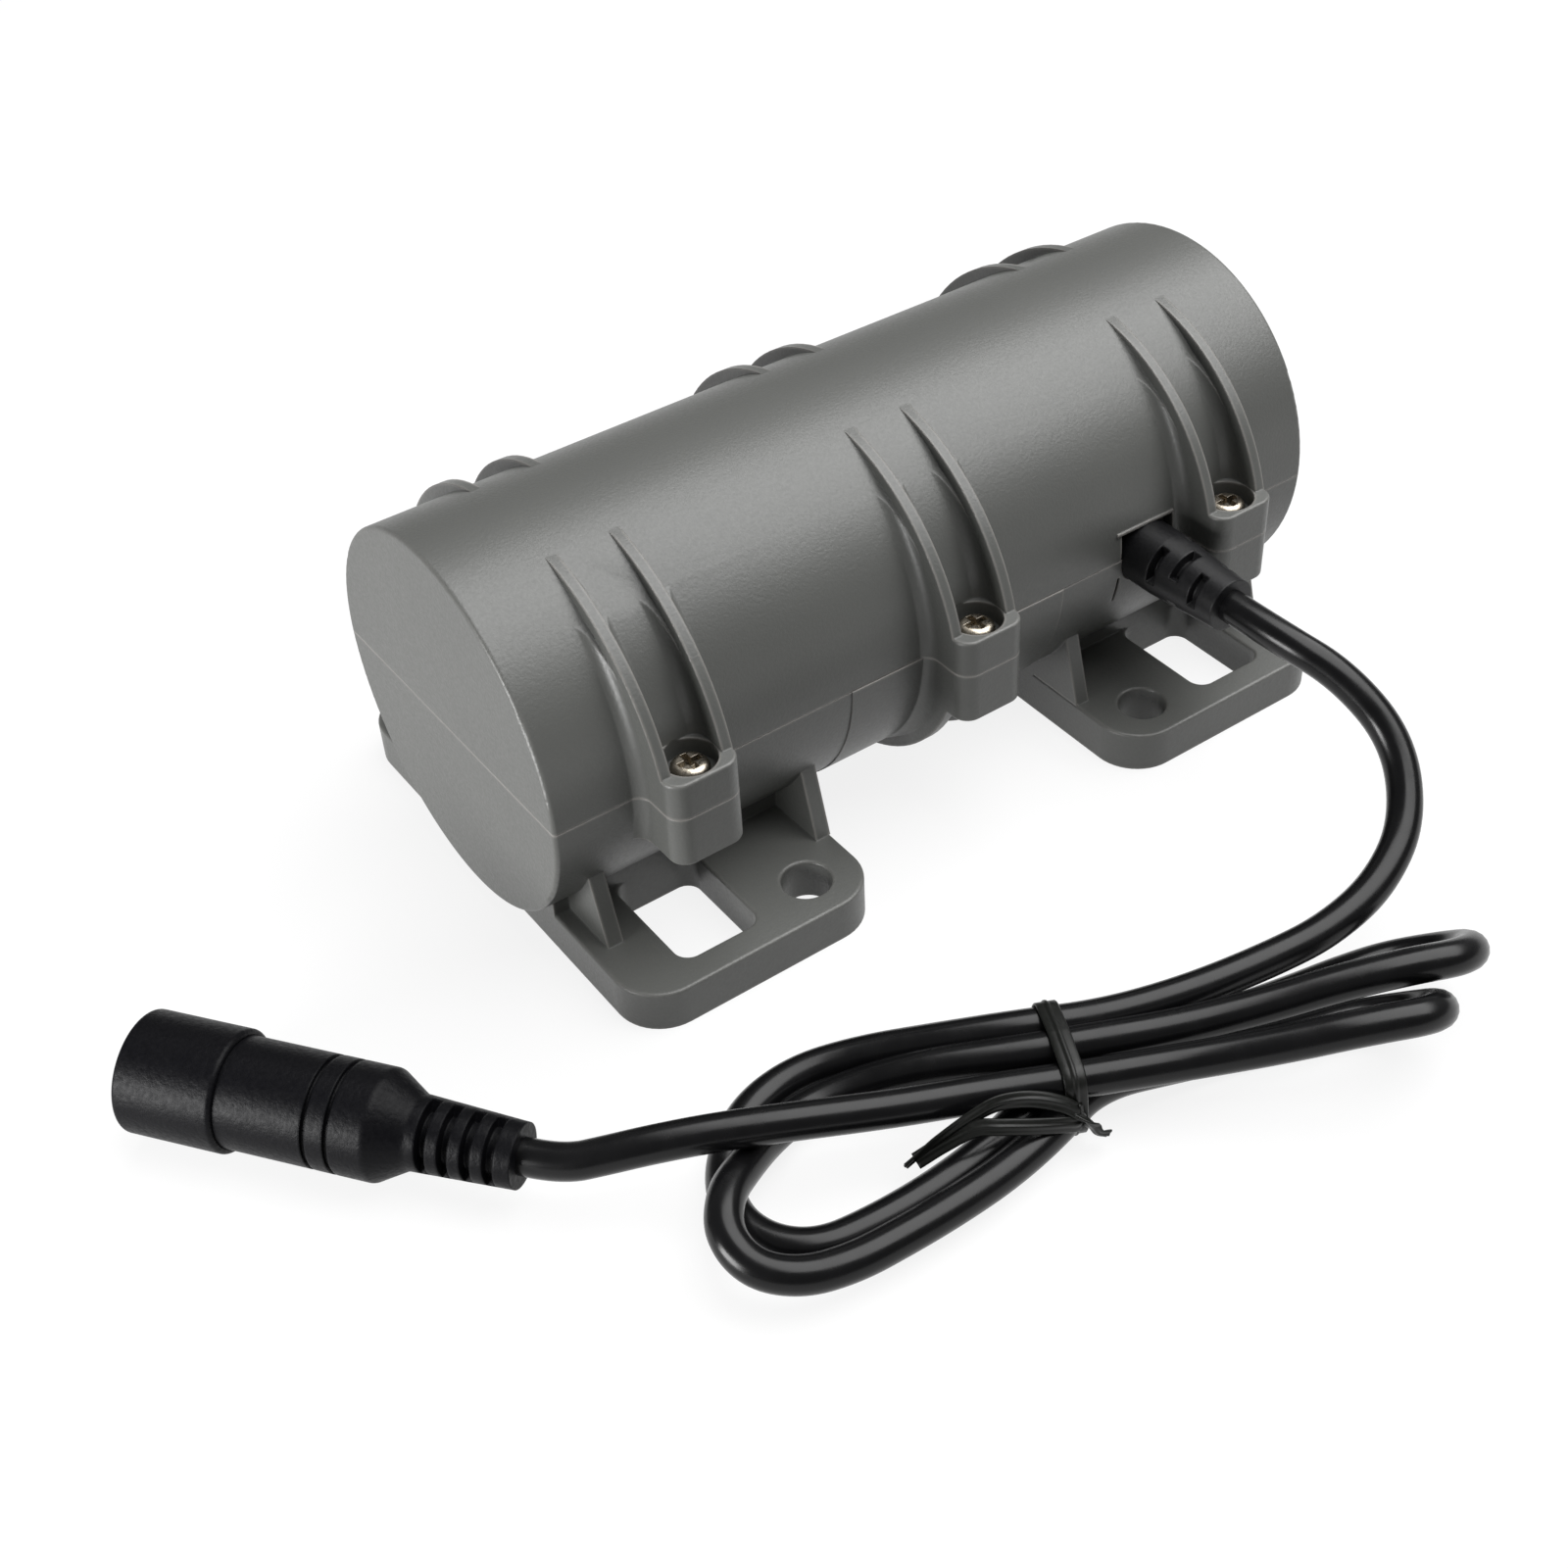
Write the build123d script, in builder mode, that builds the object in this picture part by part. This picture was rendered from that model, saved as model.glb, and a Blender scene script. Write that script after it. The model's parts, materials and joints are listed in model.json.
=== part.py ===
from build123d import *
from math import cos, pi, radians, sin, tan
import os

# Vibration motor: a brushless can motor with an eccentric weight on each shaft end, clamped
# between two moulded half shells on mounting feet, with a corded barrel connector.
# Millimetres. X runs along the shaft, Z is up, and the origin is on the mounting plane
# below the middle of the housing. The cord leaves on the -Y side.

# ---------------------------------------------------------------- housing
housing_length = 103.0
body_radius = 22.0
wall = 2.5
axis_height = 24.2
parting_height = 23.7
end_edge_radius = 0.45
moulded_edge = 0.3
foot_edge = 0.35
end_wall = 3.0
cavity_radius = body_radius - wall
cavity_length = housing_length - 2 * end_wall

# screw bosses, three along each side
boss_xs = (-36.75, 0.0, 36.75)
boss_half_width = 4.3
boss_outer_y = 28.1
boss_corner_radius = 2.0
boss_bottom = 17.5
boss_top = 28.1
boss_root_y = -18.0
rib_thickness = 1.25
rib_arc_radius = 23.6
rib_arc_y = -3.3
rib_arc_drop = 2.55
rib_bury = 0.5
root_radius = 1.6
root_sink = 0.04
root_base_radius = 20.5
root_turn = 125.0
root_arc_radius = 19.4
root_arc_y = -5.2
root_arc_drop = 0.45

# housing screws, pan head, in counterbored bosses
screw_y = 24.6
screw_head_radius = 2.1
screw_head_height = 1.7
screw_head_round = 0.95
screw_shank_radius = 1.3
screw_length = 8.0
counterbore_radius = 3.0
counterbore_floor = 25.9
counterbore_depth = 5.2
recess_width = 0.75
recess_depth = 1.1
shank_clearance = 0.2
screw_tip_gap = 0.3

# feet: one slab under each end, with a window under the boss and a fixing hole inboard
foot_inner_x = 18.0
foot_outer_x = 49.0
foot_half_width = 31.5
foot_thickness = 5.0
foot_corner_radius = 5.5
window_x = (31.75, 41.75)
window_y = (13.75, 28.0)
window_corner_radius = 1.8
fixing_x = 24.4
fixing_y = 25.9
fixing_radius = 2.8
gusset_thickness = 1.9
gusset_xs = (foot_inner_x + gusset_thickness / 2, 46.1)
gusset_foot_y = 21.6
gusset_top = (19.2, 13.5)
gusset_inner_y = 8.0

# raised band round the middle of the lower shell, and its tongue into the upper shell
band_half_length = 14.7
band_height = 0.12
tongue_length = 88.0
tongue_width = 0.9
tongue_height = 0.9
tongue_y = 20.75
tongue_gap = 0.1

# ---------------------------------------------------------------- cord and its strain relief
cord_diameter = 3.8
relief_x = 27.3
relief_z = 23.3
relief_base_radius = 3.8
relief_tip_radius = 3.1
relief_collar_y = -25.6
relief_tip_y = -35.4
relief_slot_width = 1.2
relief_slot_step = 3.05
relief_first_slot_y = -25.8
relief_bore_radius = 1.6
notch_x = (23.3, 31.0)
notch_top = 27.1
notch_depth = 1.6
notch_lip_rise = 0.2
notch_lip_height = 0.35
notch_lip_overhang = 0.7
relief_clearance = 0.05
opening_inner_y = -14.0
opening_depth = 12.0
relief_flange_y = -16.9
relief_flange_rim = 0.8
relief_flange_thickness = 1.6
relief_rows = 3
relief_slots_per_row = 3
relief_slot_arc = 72.0
relief_slot_turn = 150.0
relief_row_shift = -31.0
relief_skin = 0.5
witness_groove = (0.4, 2.4, 3.6)
witness_groove_drop = 2.5

# ---------------------------------------------------------------- motor
can_radius = 18.0
can_wall = 1.0
can_front_x = -29.0
can_rear_x = 19.0
can_front_wall = 1.5
can_front_inner_x = can_front_x + can_front_wall
cap_thickness = 2.0
cap_lip = 2.5
cap_clearance = 0.05
cap_lip_radius = can_radius - can_wall - cap_clearance
board_gap = 0.2
can_edge_radius = 0.8
bearing_boss_radius = 8.5
front_boss_length = 3.0
rear_boss_length = 5.5
shaft_radius = 2.5
shaft_half_length = 44.5
shaft_chamfer = 0.4
shaft_hole_radius = 3.2
bearing_outer_radius = 6.5
bearing_width = 4.0
bearing_front_x = -29.0
bearing_rear_x = 21.2
ball_radius = 1.15
ball_pitch_radius = 4.5
ball_count = 7
race_clearance = 0.05

stator_length = 24.0
stator_bore_radius = 10.2
stator_yoke_radius = 14.0
pole_shoe_thickness = 0.8
slot_opening = 2.0
tooth_width = 5.0
tooth_count = 6
coil_wire_build = 1.5
rotor_length = 28.0
rotor_core_radius = 7.5
magnet_radius = 9.4
magnet_count = 4
magnet_gap = 1.2

board_x = 15.2
board_thickness = 1.6
board_radius = 15.3
board_bore_radius = 7.0
board_screw_radius = 0.8
board_screw_head_radius = 1.5
board_screw_head_height = 0.9
board_screw_grip = 3.0
board_screw_circle = 12.5
board_screw_count = 3
chip_circle = 11.0
chip_count = 3
chip_size = (4.4, 5.0)
chip_height = 1.4
sensor_circle = 9.0
sensor_size = (1.4, 3.0)
sensor_height = 1.0

weight_radius = 16.0
weight_hub_radius = 6.0
weight_length = 10.0
weight_x = 38.25
grub_radius = 1.5
grub_recess = 0.3
grub_socket_radius = 0.85
grub_socket_depth = 1.8

grip_width = 8.0
grip_xs = (-21.0, 11.0)
stop_rib_thickness = 1.4
stop_rib_radius = 15.5
stop_rib_gap = 0.1
motor_middle = -2.0

os.makedirs("parts", exist_ok=True)
made = []


def save(part, name):
    """Label one finished piece and write it as its own STEP file."""
    part.label = name
    export_step(part, f"parts/{name}.step")
    made.append((name, part))


def cross_plane(x):
    """Plane across the shaft at x, origin on the shaft: local x is Y and local y is Z."""
    return Plane(origin=(x, 0, axis_height), x_dir=(0, 1, 0), z_dir=(1, 0, 0))


def shaft_tube(start, end, outer, inner=0.0):
    """Ring or disc on the shaft axis between two x values."""
    with BuildPart() as ring:
        with BuildSketch(cross_plane(start)):
            Circle(outer)
            if inner > 0:
                Circle(inner, mode=Mode.SUBTRACT)
        extrude(amount=end - start)
    return ring.part


# ================================================================ housing
# Plane on the cord's own axis where it leaves: local z points along -Y, out of the housing.
cord_plane = Plane(origin=(relief_x, 0, relief_z), x_dir=(1, 0, 0), z_dir=(0, -1, 0))


def boss_blocks():
    """The three bosses of the -Y side: upright blocks with two rounded corners."""
    corner_y = -boss_outer_y + boss_corner_radius
    with BuildPart() as blocks:
        with BuildSketch(Plane.XY.offset(boss_bottom)):
            for x in boss_xs:
                left = x - boss_half_width
                right = x + boss_half_width
                left_corner = (left + boss_corner_radius, -boss_outer_y)
                right_corner = (right - boss_corner_radius, -boss_outer_y)
                with BuildLine():
                    Polyline(
                        (left, corner_y),
                        (left, boss_root_y),
                        (right, boss_root_y),
                        (right, corner_y),
                    )
                    RadiusArc((right, corner_y), right_corner, boss_corner_radius)
                    Line(right_corner, left_corner)
                    RadiusArc(left_corner, (left, corner_y), boss_corner_radius)
                make_face()
        extrude(amount=boss_top - boss_bottom)
        rims = blocks.edges().group_by(Axis.Z)
        fillet(rims[0] + rims[-1], moulded_edge)
    return blocks.part


def root_section(outer, side):
    """Line round the section of one rib's root in x and radius: a concave arc on each flank."""
    inner = outer - side * rib_thickness
    surface = body_radius - root_sink
    with BuildLine() as section:
        for face, away in ((outer, side), (inner, -side)):
            foot = face + away * root_radius
            ThreePointArc(
                (face, surface + root_radius),
                (foot - away * root_radius * cos(pi / 4), surface + root_radius * (1 - sin(pi / 4))),
                (foot, surface),
            )
            Line((foot, surface), (foot, root_base_radius))
        Line((outer, surface + root_radius), (inner, surface + root_radius))
        Line((outer + side * root_radius, root_base_radius), (inner - side * root_radius, root_base_radius))
    return section.line


def arched_slab(x, thickness, radius, centre_y, drop, start):
    """Slab across the body under a round crest, kept above a height taken from the axis."""
    with BuildPart() as slab:
        with BuildSketch(cross_plane(x)):
            with Locations((centre_y, -drop)):
                Circle(radius)
            with Locations((0, start)):
                Rectangle(
                    4 * body_radius,
                    2 * body_radius,
                    align=(Align.CENTER, Align.MIN),
                    mode=Mode.INTERSECT,
                )
        extrude(amount=thickness)
    return slab.part


def rib_pair(x, rise):
    """Two thin ribs of a boss: up from its top where rise is 1, down from its foot where -1."""
    reach = boss_half_width + root_radius
    root_start = rise * (boss_bottom - axis_height)
    rib_start = (boss_top if rise > 0 else 2 * axis_height - boss_bottom) - axis_height - rib_bury
    with BuildPart() as pair:
        with BuildSketch(Plane(origin=(0, 0, axis_height), x_dir=(1, 0, 0), z_dir=(0, -1, 0))):
            for side in (-1, 1):
                with BuildLine():
                    add(root_section(x + side * boss_half_width, side))
                make_face()
        revolve(axis=Axis((0, 0, axis_height), (1, 0, 0)), revolution_arc=root_turn)
        add(
            arched_slab(x - reach, 2 * reach, root_arc_radius, root_arc_y, root_arc_drop, root_start),
            mode=Mode.INTERSECT,
        )
        for rib_x in (x - boss_half_width, x + boss_half_width - rib_thickness):
            add(arched_slab(rib_x, rib_thickness, rib_arc_radius, rib_arc_y, rib_arc_drop, rib_start))
    if rise > 0:
        return pair.part
    return pair.part.mirror(Plane.XY.offset(axis_height))


def notch_lip():
    """Thin raised lip on the body along the top of the cord's notch."""
    with BuildPart() as lip:
        add(
            shaft_tube(
                notch_x[0] - notch_lip_overhang,
                notch_x[1],
                body_radius + notch_lip_rise,
                body_radius - notch_depth,
            )
        )
        with BuildSketch(Plane.XY.offset(notch_top)):
            with Locations((notch_x[0], -body_radius)):
                Rectangle(housing_length, body_radius)
        extrude(amount=notch_lip_height, mode=Mode.INTERSECT)
    return lip.part


with BuildPart() as blank:
    with BuildSketch(cross_plane(-housing_length / 2)):
        Circle(body_radius)
    extrude(amount=housing_length)
    fillet(blank.edges().filter_by(GeomType.CIRCLE), end_edge_radius)
    add(boss_blocks())
    for boss_x in boss_xs:
        add(rib_pair(boss_x, 1))
    add(rib_pair(0.0, -1))
    mirror(about=Plane.XZ)

# The cavity keeps a thicker wall at the ends, and two ribs stop the motor lengthwise.
with BuildPart() as cavity:
    add(shaft_tube(-cavity_length / 2, cavity_length / 2, cavity_radius))
    for rib_x in (
        can_front_x - stop_rib_gap - stop_rib_thickness,
        can_rear_x + cap_thickness + stop_rib_gap,
    ):
        add(
            shaft_tube(rib_x, rib_x + stop_rib_thickness, cavity_radius, stop_rib_radius),
            mode=Mode.SUBTRACT,
        )


def cord_opening():
    """Way out for the cord: a round hole on the parting, with a shallow square notch above it."""
    with BuildPart() as opening:
        with BuildSketch(cord_plane.offset(-opening_inner_y)):
            Circle(relief_base_radius + relief_clearance)
        extrude(amount=opening_depth)
        with BuildSketch(Plane.XZ.offset(body_radius - notch_depth)):
            with Locations((notch_x[0], parting_height)):
                Rectangle(
                    notch_x[1] - notch_x[0],
                    notch_top - parting_height,
                    align=(Align.MIN, Align.MIN),
                )
        extrude(amount=opening_depth)
    return opening.part


with BuildPart() as upper_shell:
    add(blank.part)
    add(cavity.part, mode=Mode.SUBTRACT)
    split(bisect_by=Plane.XY.offset(parting_height), keep=Keep.TOP)
    add(notch_lip())
    with BuildSketch(Plane.XY.offset(counterbore_floor)):
        with GridLocations(boss_xs[2], 2 * screw_y, 3, 2):
            Circle(counterbore_radius)
    extrude(amount=counterbore_depth, mode=Mode.SUBTRACT)
    with BuildSketch(Plane.XY.offset(parting_height)):
        with GridLocations(boss_xs[2], 2 * screw_y, 3, 2):
            Circle(screw_shank_radius + shank_clearance)
    extrude(amount=boss_top - parting_height, mode=Mode.SUBTRACT)
    with BuildSketch(Plane.XY.offset(parting_height)):
        with GridLocations(0, 2 * tongue_y, 1, 2):
            Rectangle(tongue_length + 2 * tongue_gap, tongue_width + tongue_gap)
    extrude(amount=tongue_height + tongue_gap, mode=Mode.SUBTRACT)
    add(cord_opening(), mode=Mode.SUBTRACT)
save(upper_shell.part, "upper_shell")

with BuildPart() as feet:
    with BuildSketch(Plane.XY):
        with GridLocations(foot_inner_x + foot_outer_x, 0, 2, 1):
            RectangleRounded(foot_outer_x - foot_inner_x, 2 * foot_half_width, foot_corner_radius)
        with GridLocations(2 * fixing_x, 2 * fixing_y, 2, 2):
            Circle(fixing_radius, mode=Mode.SUBTRACT)
        with GridLocations(sum(window_x), sum(window_y), 2, 2):
            RectangleRounded(
                window_x[1] - window_x[0],
                window_y[1] - window_y[0],
                window_corner_radius,
                mode=Mode.SUBTRACT,
            )
    extrude(amount=foot_thickness)
    fillet(feet.edges().group_by(Axis.Z)[-1], foot_edge)
    # pedestals between the slabs and the body, inside the windows
    with BuildSketch(Plane.XY):
        with GridLocations(foot_inner_x + foot_outer_x, 0, 2, 1):
            Rectangle(foot_outer_x - foot_inner_x, 2 * window_y[0])
    extrude(amount=axis_height / 2)
    # gussets at both ends of each foot
    for gusset_x in gusset_xs:
        for end in (-1, 1):
            gusset_plane = Plane(
                origin=(end * gusset_x - gusset_thickness / 2, 0, 0), x_dir=(0, 1, 0), z_dir=(1, 0, 0)
            )
            with BuildSketch(gusset_plane):
                for side in (-1, 1):
                    with BuildLine():
                        Polyline(
                            (side * gusset_foot_y, foot_thickness),
                            (side * gusset_top[0], gusset_top[1]),
                            (side * gusset_inner_y, gusset_top[1]),
                            (side * gusset_inner_y, foot_thickness),
                            close=True,
                        )
                    make_face()
            extrude(amount=gusset_thickness)

with BuildPart() as lower_shell:
    add(blank.part)
    # raised band round the middle, with square ends
    add(shaft_tube(-band_half_length, band_half_length, body_radius + band_height))
    add(feet.part)
    add(cavity.part, mode=Mode.SUBTRACT)
    split(bisect_by=Plane.XY.offset(parting_height), keep=Keep.BOTTOM)
    with BuildSketch(Plane.XY.offset(parting_height)):
        with GridLocations(boss_xs[2], 2 * screw_y, 3, 2):
            Circle(screw_shank_radius)
    extrude(amount=counterbore_floor - parting_height - screw_length - screw_tip_gap, mode=Mode.SUBTRACT)
    with BuildSketch(Plane.XY.offset(parting_height - wall)):
        with GridLocations(0, 2 * tongue_y, 1, 2):
            Rectangle(tongue_length, tongue_width)
    extrude(amount=tongue_height + wall)
    add(cord_opening(), mode=Mode.SUBTRACT)
    # shallow moulding groove beside the cord opening
    with Locations((notch_x[0], -body_radius, parting_height - witness_groove_drop)):
        Box(
            *witness_groove,
            align=(Align.CENTER, Align.CENTER, Align.MAX),
            mode=Mode.SUBTRACT,
        )
save(lower_shell.part, "lower_shell")

with BuildPart() as housing_screws:
    with BuildSketch(Plane.XY.offset(counterbore_floor)):
        with GridLocations(boss_xs[2], 2 * screw_y, 3, 2):
            Circle(screw_head_radius)
    extrude(amount=screw_head_height)
    fillet(housing_screws.edges().group_by(Axis.Z)[-1], screw_head_round)
    with BuildSketch(Plane.XY.offset(counterbore_floor)):
        with GridLocations(boss_xs[2], 2 * screw_y, 3, 2):
            Circle(screw_shank_radius)
    extrude(amount=-screw_length)
    with BuildSketch(Plane.XY.offset(counterbore_floor + screw_head_height)):
        with GridLocations(boss_xs[2], 2 * screw_y, 3, 2):
            Rectangle(2 * screw_shank_radius, recess_width)
            Rectangle(recess_width, 2 * screw_shank_radius)
    extrude(amount=-recess_depth, mode=Mode.SUBTRACT)
save(housing_screws.part, "housing_screws")

# ================================================================ strain relief and cord
with BuildPart() as strain_relief:
    # flange inside the wall, and a round neck through it
    with BuildSketch(cord_plane.offset(-relief_flange_y)):
        Circle(relief_base_radius + relief_flange_rim)
    extrude(amount=relief_flange_thickness)
    with BuildSketch(cord_plane.offset(-relief_flange_y)):
        Circle(relief_base_radius)
    extrude(amount=relief_flange_y - relief_collar_y)
    # tapered sleeve outside
    with BuildSketch(cord_plane.offset(-relief_collar_y)):
        Circle(relief_base_radius)
    with BuildSketch(cord_plane.offset(-relief_tip_y)):
        Circle(relief_tip_radius)
    loft()
    # rows of slots round the sleeve; every other row is turned by the row shift
    for row in range(relief_rows):
        slot_y = relief_first_slot_y - row * relief_slot_step
        with BuildSketch(cord_plane.offset(-slot_y)):
            for slot in range(relief_slots_per_row):
                turn = relief_slot_turn + row % 2 * relief_row_shift + slot * 360 / relief_slots_per_row
                inner = cord_diameter / 2 + relief_skin
                outer = relief_base_radius + relief_skin
                with BuildLine():
                    CenterArc((0, 0), inner, turn - relief_slot_arc / 2, relief_slot_arc)
                    CenterArc((0, 0), outer, turn - relief_slot_arc / 2, relief_slot_arc)
                    for edge in (-1, 1):
                        angle = radians(turn + edge * relief_slot_arc / 2)
                        Line(
                            (inner * cos(angle), inner * sin(angle)),
                            (outer * cos(angle), outer * sin(angle)),
                        )
                make_face()
        extrude(amount=relief_slot_width, mode=Mode.SUBTRACT)
    # bore for the cord's cores
    with BuildSketch(cord_plane.offset(-relief_flange_y)):
        Circle(relief_bore_radius)
    extrude(amount=relief_flange_y - relief_tip_y, mode=Mode.SUBTRACT)
save(strain_relief.part, "strain_relief")

# Route of the uncoiled lead: out of the strain relief, down in an open arc and back
# towards the tied hank. Each corner's arc takes 0.45 of its shorter run.
lead_route = [
    (relief_x, relief_tip_y, relief_z),
    (relief_x, -42.6, 23.3),
    (30.2, -49.8, 20.9),
    (31.5, -57.2, 16.0),
    (27.4, -63.3, 11.2),
    (20.4, -66.4, 8.4),
    (12.6, -67.0, 6.9),
    (5.2, -65.9, 6.2),
]
# Route of the tail: off the hank, across to the connector, lifted clear of the surface by both.
tail_route = [
    (-59.0, -48.6, 7.7),
    (-62.4, -46.8, 7.1),
    (-66.4, -44.5, 6.3),
    (-68.8, -41.3, 6.3),
]


def route_radii(points):
    """Arc radius at each inner corner: 0.45 of the shorter run over the tangent of half the turn."""
    radii = []
    for before, corner, after in zip(points, points[1:], points[2:]):
        run_in = Vector(*corner) - Vector(*before)
        run_out = Vector(*after) - Vector(*corner)
        half_turn = radians(run_in.get_angle(run_out) / 2)
        radii.append(0.45 * min(run_in.length, run_out.length) / tan(half_turn))
    return radii


def cord_tube(name, points):
    """Round tube along straight runs joined by tangent arcs; prints its radii and volume ratio."""
    radii = route_radii(points)
    with BuildPart() as tube:
        with BuildLine():
            path = FilletPolyline(*points, radius=radii)
        start = Plane(origin=path @ 0, z_dir=path % 0)
        with BuildSketch(start):
            Circle(cord_diameter / 2)
        sweep(path=path)
    section = pi * (cord_diameter / 2) ** 2
    ratio = tube.part.volume / (section * path.length)
    print(name, "length", round(path.length, 1), "radii", [round(r, 1) for r in radii])
    print(name, "volume over section times length", round(ratio, 4))
    save(tube.part, name)


cord_tube("cord_lead", lead_route)

# Tied hank: a round lobe of two turns on the left and two upright folds on the right,
# as one closed solid of their outer shape. The lead and the tail meet its two end faces.
hank_height = 9.9
fold_height = 13.4
hank_lobe_centre = (-45.0, -57.0)
hank_lobe_radius = 13.4
tie_x = -17.5
tie_width = 3.0
tie_thickness = 0.5
tie_centre_y = -64.4
tie_span = 15.0
tie_gap = 0.05
end_block_depth = 8.0
end_block_rim = 0.5
lead_direction = Vector(*lead_route[-1]) - Vector(*lead_route[-2])
tail_direction = Vector(*tail_route[0]) - Vector(*tail_route[1])
lead_end = Plane(origin=lead_route[-1], z_dir=lead_direction)
tail_start = Plane(origin=tail_route[0], z_dir=tail_direction)

with BuildPart() as cord_hank:
    with BuildSketch(Plane.XY):
        with Locations(hank_lobe_centre):
            Circle(hank_lobe_radius)
        with BuildLine():
            Polyline(
                (-42.0, -44.0),
                (-27.0, -52.5),
                (-18.0, -58.0),
                (-1.0, -61.8),
                (-1.0, -69.0),
                (-10.0, -73.5),
                (-19.0, -70.5),
                (-30.0, -70.4),
                (-45.0, -70.4),
                close=True,
            )
        make_face()
    extrude(amount=hank_height)
    with BuildSketch(Plane.XY):
        with BuildLine():
            Spline(
                (-8.0, -71.5),
                (5.0, -69.4),
                (20.0, -70.2),
                (26.9, -75.0),
                (21.0, -83.5),
                (11.0, -87.2),
                (1.0, -82.6),
                periodic=True,
            )
        make_face()
    extrude(amount=fold_height)
    for end_plane in (lead_end, tail_start):
        with BuildSketch(end_plane):
            Rectangle(2 * cord_diameter, cord_diameter + 2 * end_block_rim)
        extrude(amount=end_block_depth)
    # waist for the tie
    with BuildSketch(Plane.YZ.offset(tie_x - tie_width / 2 - tie_gap)):
        with Locations((tie_centre_y, hank_height / 2)):
            Rectangle(4 * tie_span, 4 * tie_span)
            Rectangle(tie_span, hank_height - 2 * tie_thickness, mode=Mode.SUBTRACT)
    extrude(amount=tie_width + 2 * tie_gap, mode=Mode.SUBTRACT)
save(cord_hank.part, "cord_hank")

# Flat tie round the hank's waist.
with BuildPart() as twist_tie:
    with BuildSketch(Plane.YZ.offset(tie_x - tie_width / 2)):
        with Locations((tie_centre_y, hank_height / 2)):
            Rectangle(tie_span + 2 * tie_thickness, hank_height)
            Rectangle(tie_span, hank_height - 2 * tie_thickness, mode=Mode.SUBTRACT)
    extrude(amount=tie_width)
save(twist_tie.part, "twist_tie")

cord_tube("cord_tail", tail_route)

# ================================================================ barrel connector
# Turned profile along the connector's own axis, from the front face backwards.
collar_radius = 6.3
collar_length = 10.9
sleeve_radius = 5.7
sleeve_end = 26.8
cone_end = 30.0
connector_length = 41.0
collar_lip = 1.9
collar_edge_radius = 0.5
cone_radius = 3.8
tail_radius = 3.3
groove_stations = (20.3, 22.7)
groove_width = 0.5
groove_depth = 0.45
relief_slot_count = 4
relief_slot_start = 1.3
relief_slot_pitch = 2.3
relief_slot_length = 1.1
relief_spine = 1.6
relief_spine_turn = -43.0
shoulder_radius = 1.2
cone_foot_radius = 1.0
cord_bore_radius = 1.6
insulator_radius = 4.4
insulator_recess = 0.4
insulator_overlap = 2.0
jack_bore_radius = 2.85
jack_depth = 9.5
contact_thickness = 0.35
contact_recess = 0.8
pin_radius = 1.05
pin_recess = 2.6
pin_point_radius = 0.3

insulator_end = collar_length + insulator_overlap
contact_radius = jack_bore_radius + contact_thickness
jack_bottom = jack_depth + insulator_recess
connector_rear = Vector(*tail_route[-1])
connector_axis = (connector_rear - Vector(*tail_route[-2])).normalized()
connector_front = connector_rear + connector_axis * connector_length
connector_plane = Plane(origin=connector_front, x_dir=(0, 0, 1), z_dir=-connector_axis)


def connector_disc(start, end, outer, inner=0.0):
    """Ring or disc on the connector's axis, between two distances from its front face."""
    with BuildPart() as ring:
        with BuildSketch(connector_plane.offset(start)):
            Circle(outer)
            if inner > 0:
                Circle(inner, mode=Mode.SUBTRACT)
        extrude(amount=end - start)
    return ring.part


with BuildPart() as connector_body:
    add(connector_disc(collar_lip, sleeve_end, sleeve_radius))
    with BuildSketch(connector_plane.offset(sleeve_end)):
        Circle(sleeve_radius)
    with BuildSketch(connector_plane.offset(cone_end)):
        Circle(cone_radius)
    loft()
    with BuildSketch(connector_plane.offset(cone_end)):
        Circle(cone_radius)
    with BuildSketch(connector_plane.offset(connector_length)):
        Circle(tail_radius)
    loft()
    rings = connector_body.edges().filter_by(GeomType.CIRCLE).sort_by_distance(connector_rear)
    fillet(rings.filter_by(lambda edge: abs(edge.radius - sleeve_radius) < 0.01)[0], shoulder_radius)
    rings = connector_body.edges().filter_by(GeomType.CIRCLE).sort_by_distance(connector_rear)
    fillet(rings.filter_by(lambda edge: abs(edge.radius - cone_radius) < 0.01)[0], cone_foot_radius)
    for groove_at in groove_stations:
        add(
            connector_disc(groove_at, groove_at + groove_width, collar_radius, sleeve_radius - groove_depth),
            mode=Mode.SUBTRACT,
        )
    for row in range(relief_slot_count):
        slot_at = cone_end + relief_slot_start + row * relief_slot_pitch
        with BuildSketch(connector_plane.offset(slot_at)):
            Circle(sleeve_radius)
            Circle(cord_diameter / 2 + relief_skin, mode=Mode.SUBTRACT)
            Rectangle(2 * sleeve_radius, relief_spine, rotation=relief_spine_turn, mode=Mode.SUBTRACT)
        extrude(amount=relief_slot_length, mode=Mode.SUBTRACT)
    add(connector_disc(collar_lip, insulator_end, insulator_radius), mode=Mode.SUBTRACT)
    add(connector_disc(collar_length, connector_length, cord_bore_radius), mode=Mode.SUBTRACT)
save(connector_body.part, "connector_body")

with BuildPart() as connector_collar:
    add(connector_disc(0, collar_length, collar_radius, sleeve_radius))
    add(connector_disc(0, collar_lip, collar_radius, insulator_radius))
    fillet(
        connector_collar.edges().filter_by(GeomType.CIRCLE).filter_by(
            lambda edge: abs(edge.radius - collar_radius) < 0.01
        ),
        collar_edge_radius,
    )
save(connector_collar.part, "connector_collar")

with BuildPart() as jack_insulator:
    add(connector_disc(insulator_recess, insulator_end, insulator_radius, contact_radius))
    add(connector_disc(jack_bottom, insulator_end, contact_radius, pin_radius))
save(jack_insulator.part, "jack_insulator")

with BuildPart() as jack_barrel_contact:
    add(connector_disc(contact_recess, jack_bottom, contact_radius, jack_bore_radius))
save(jack_barrel_contact.part, "jack_barrel_contact")

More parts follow.
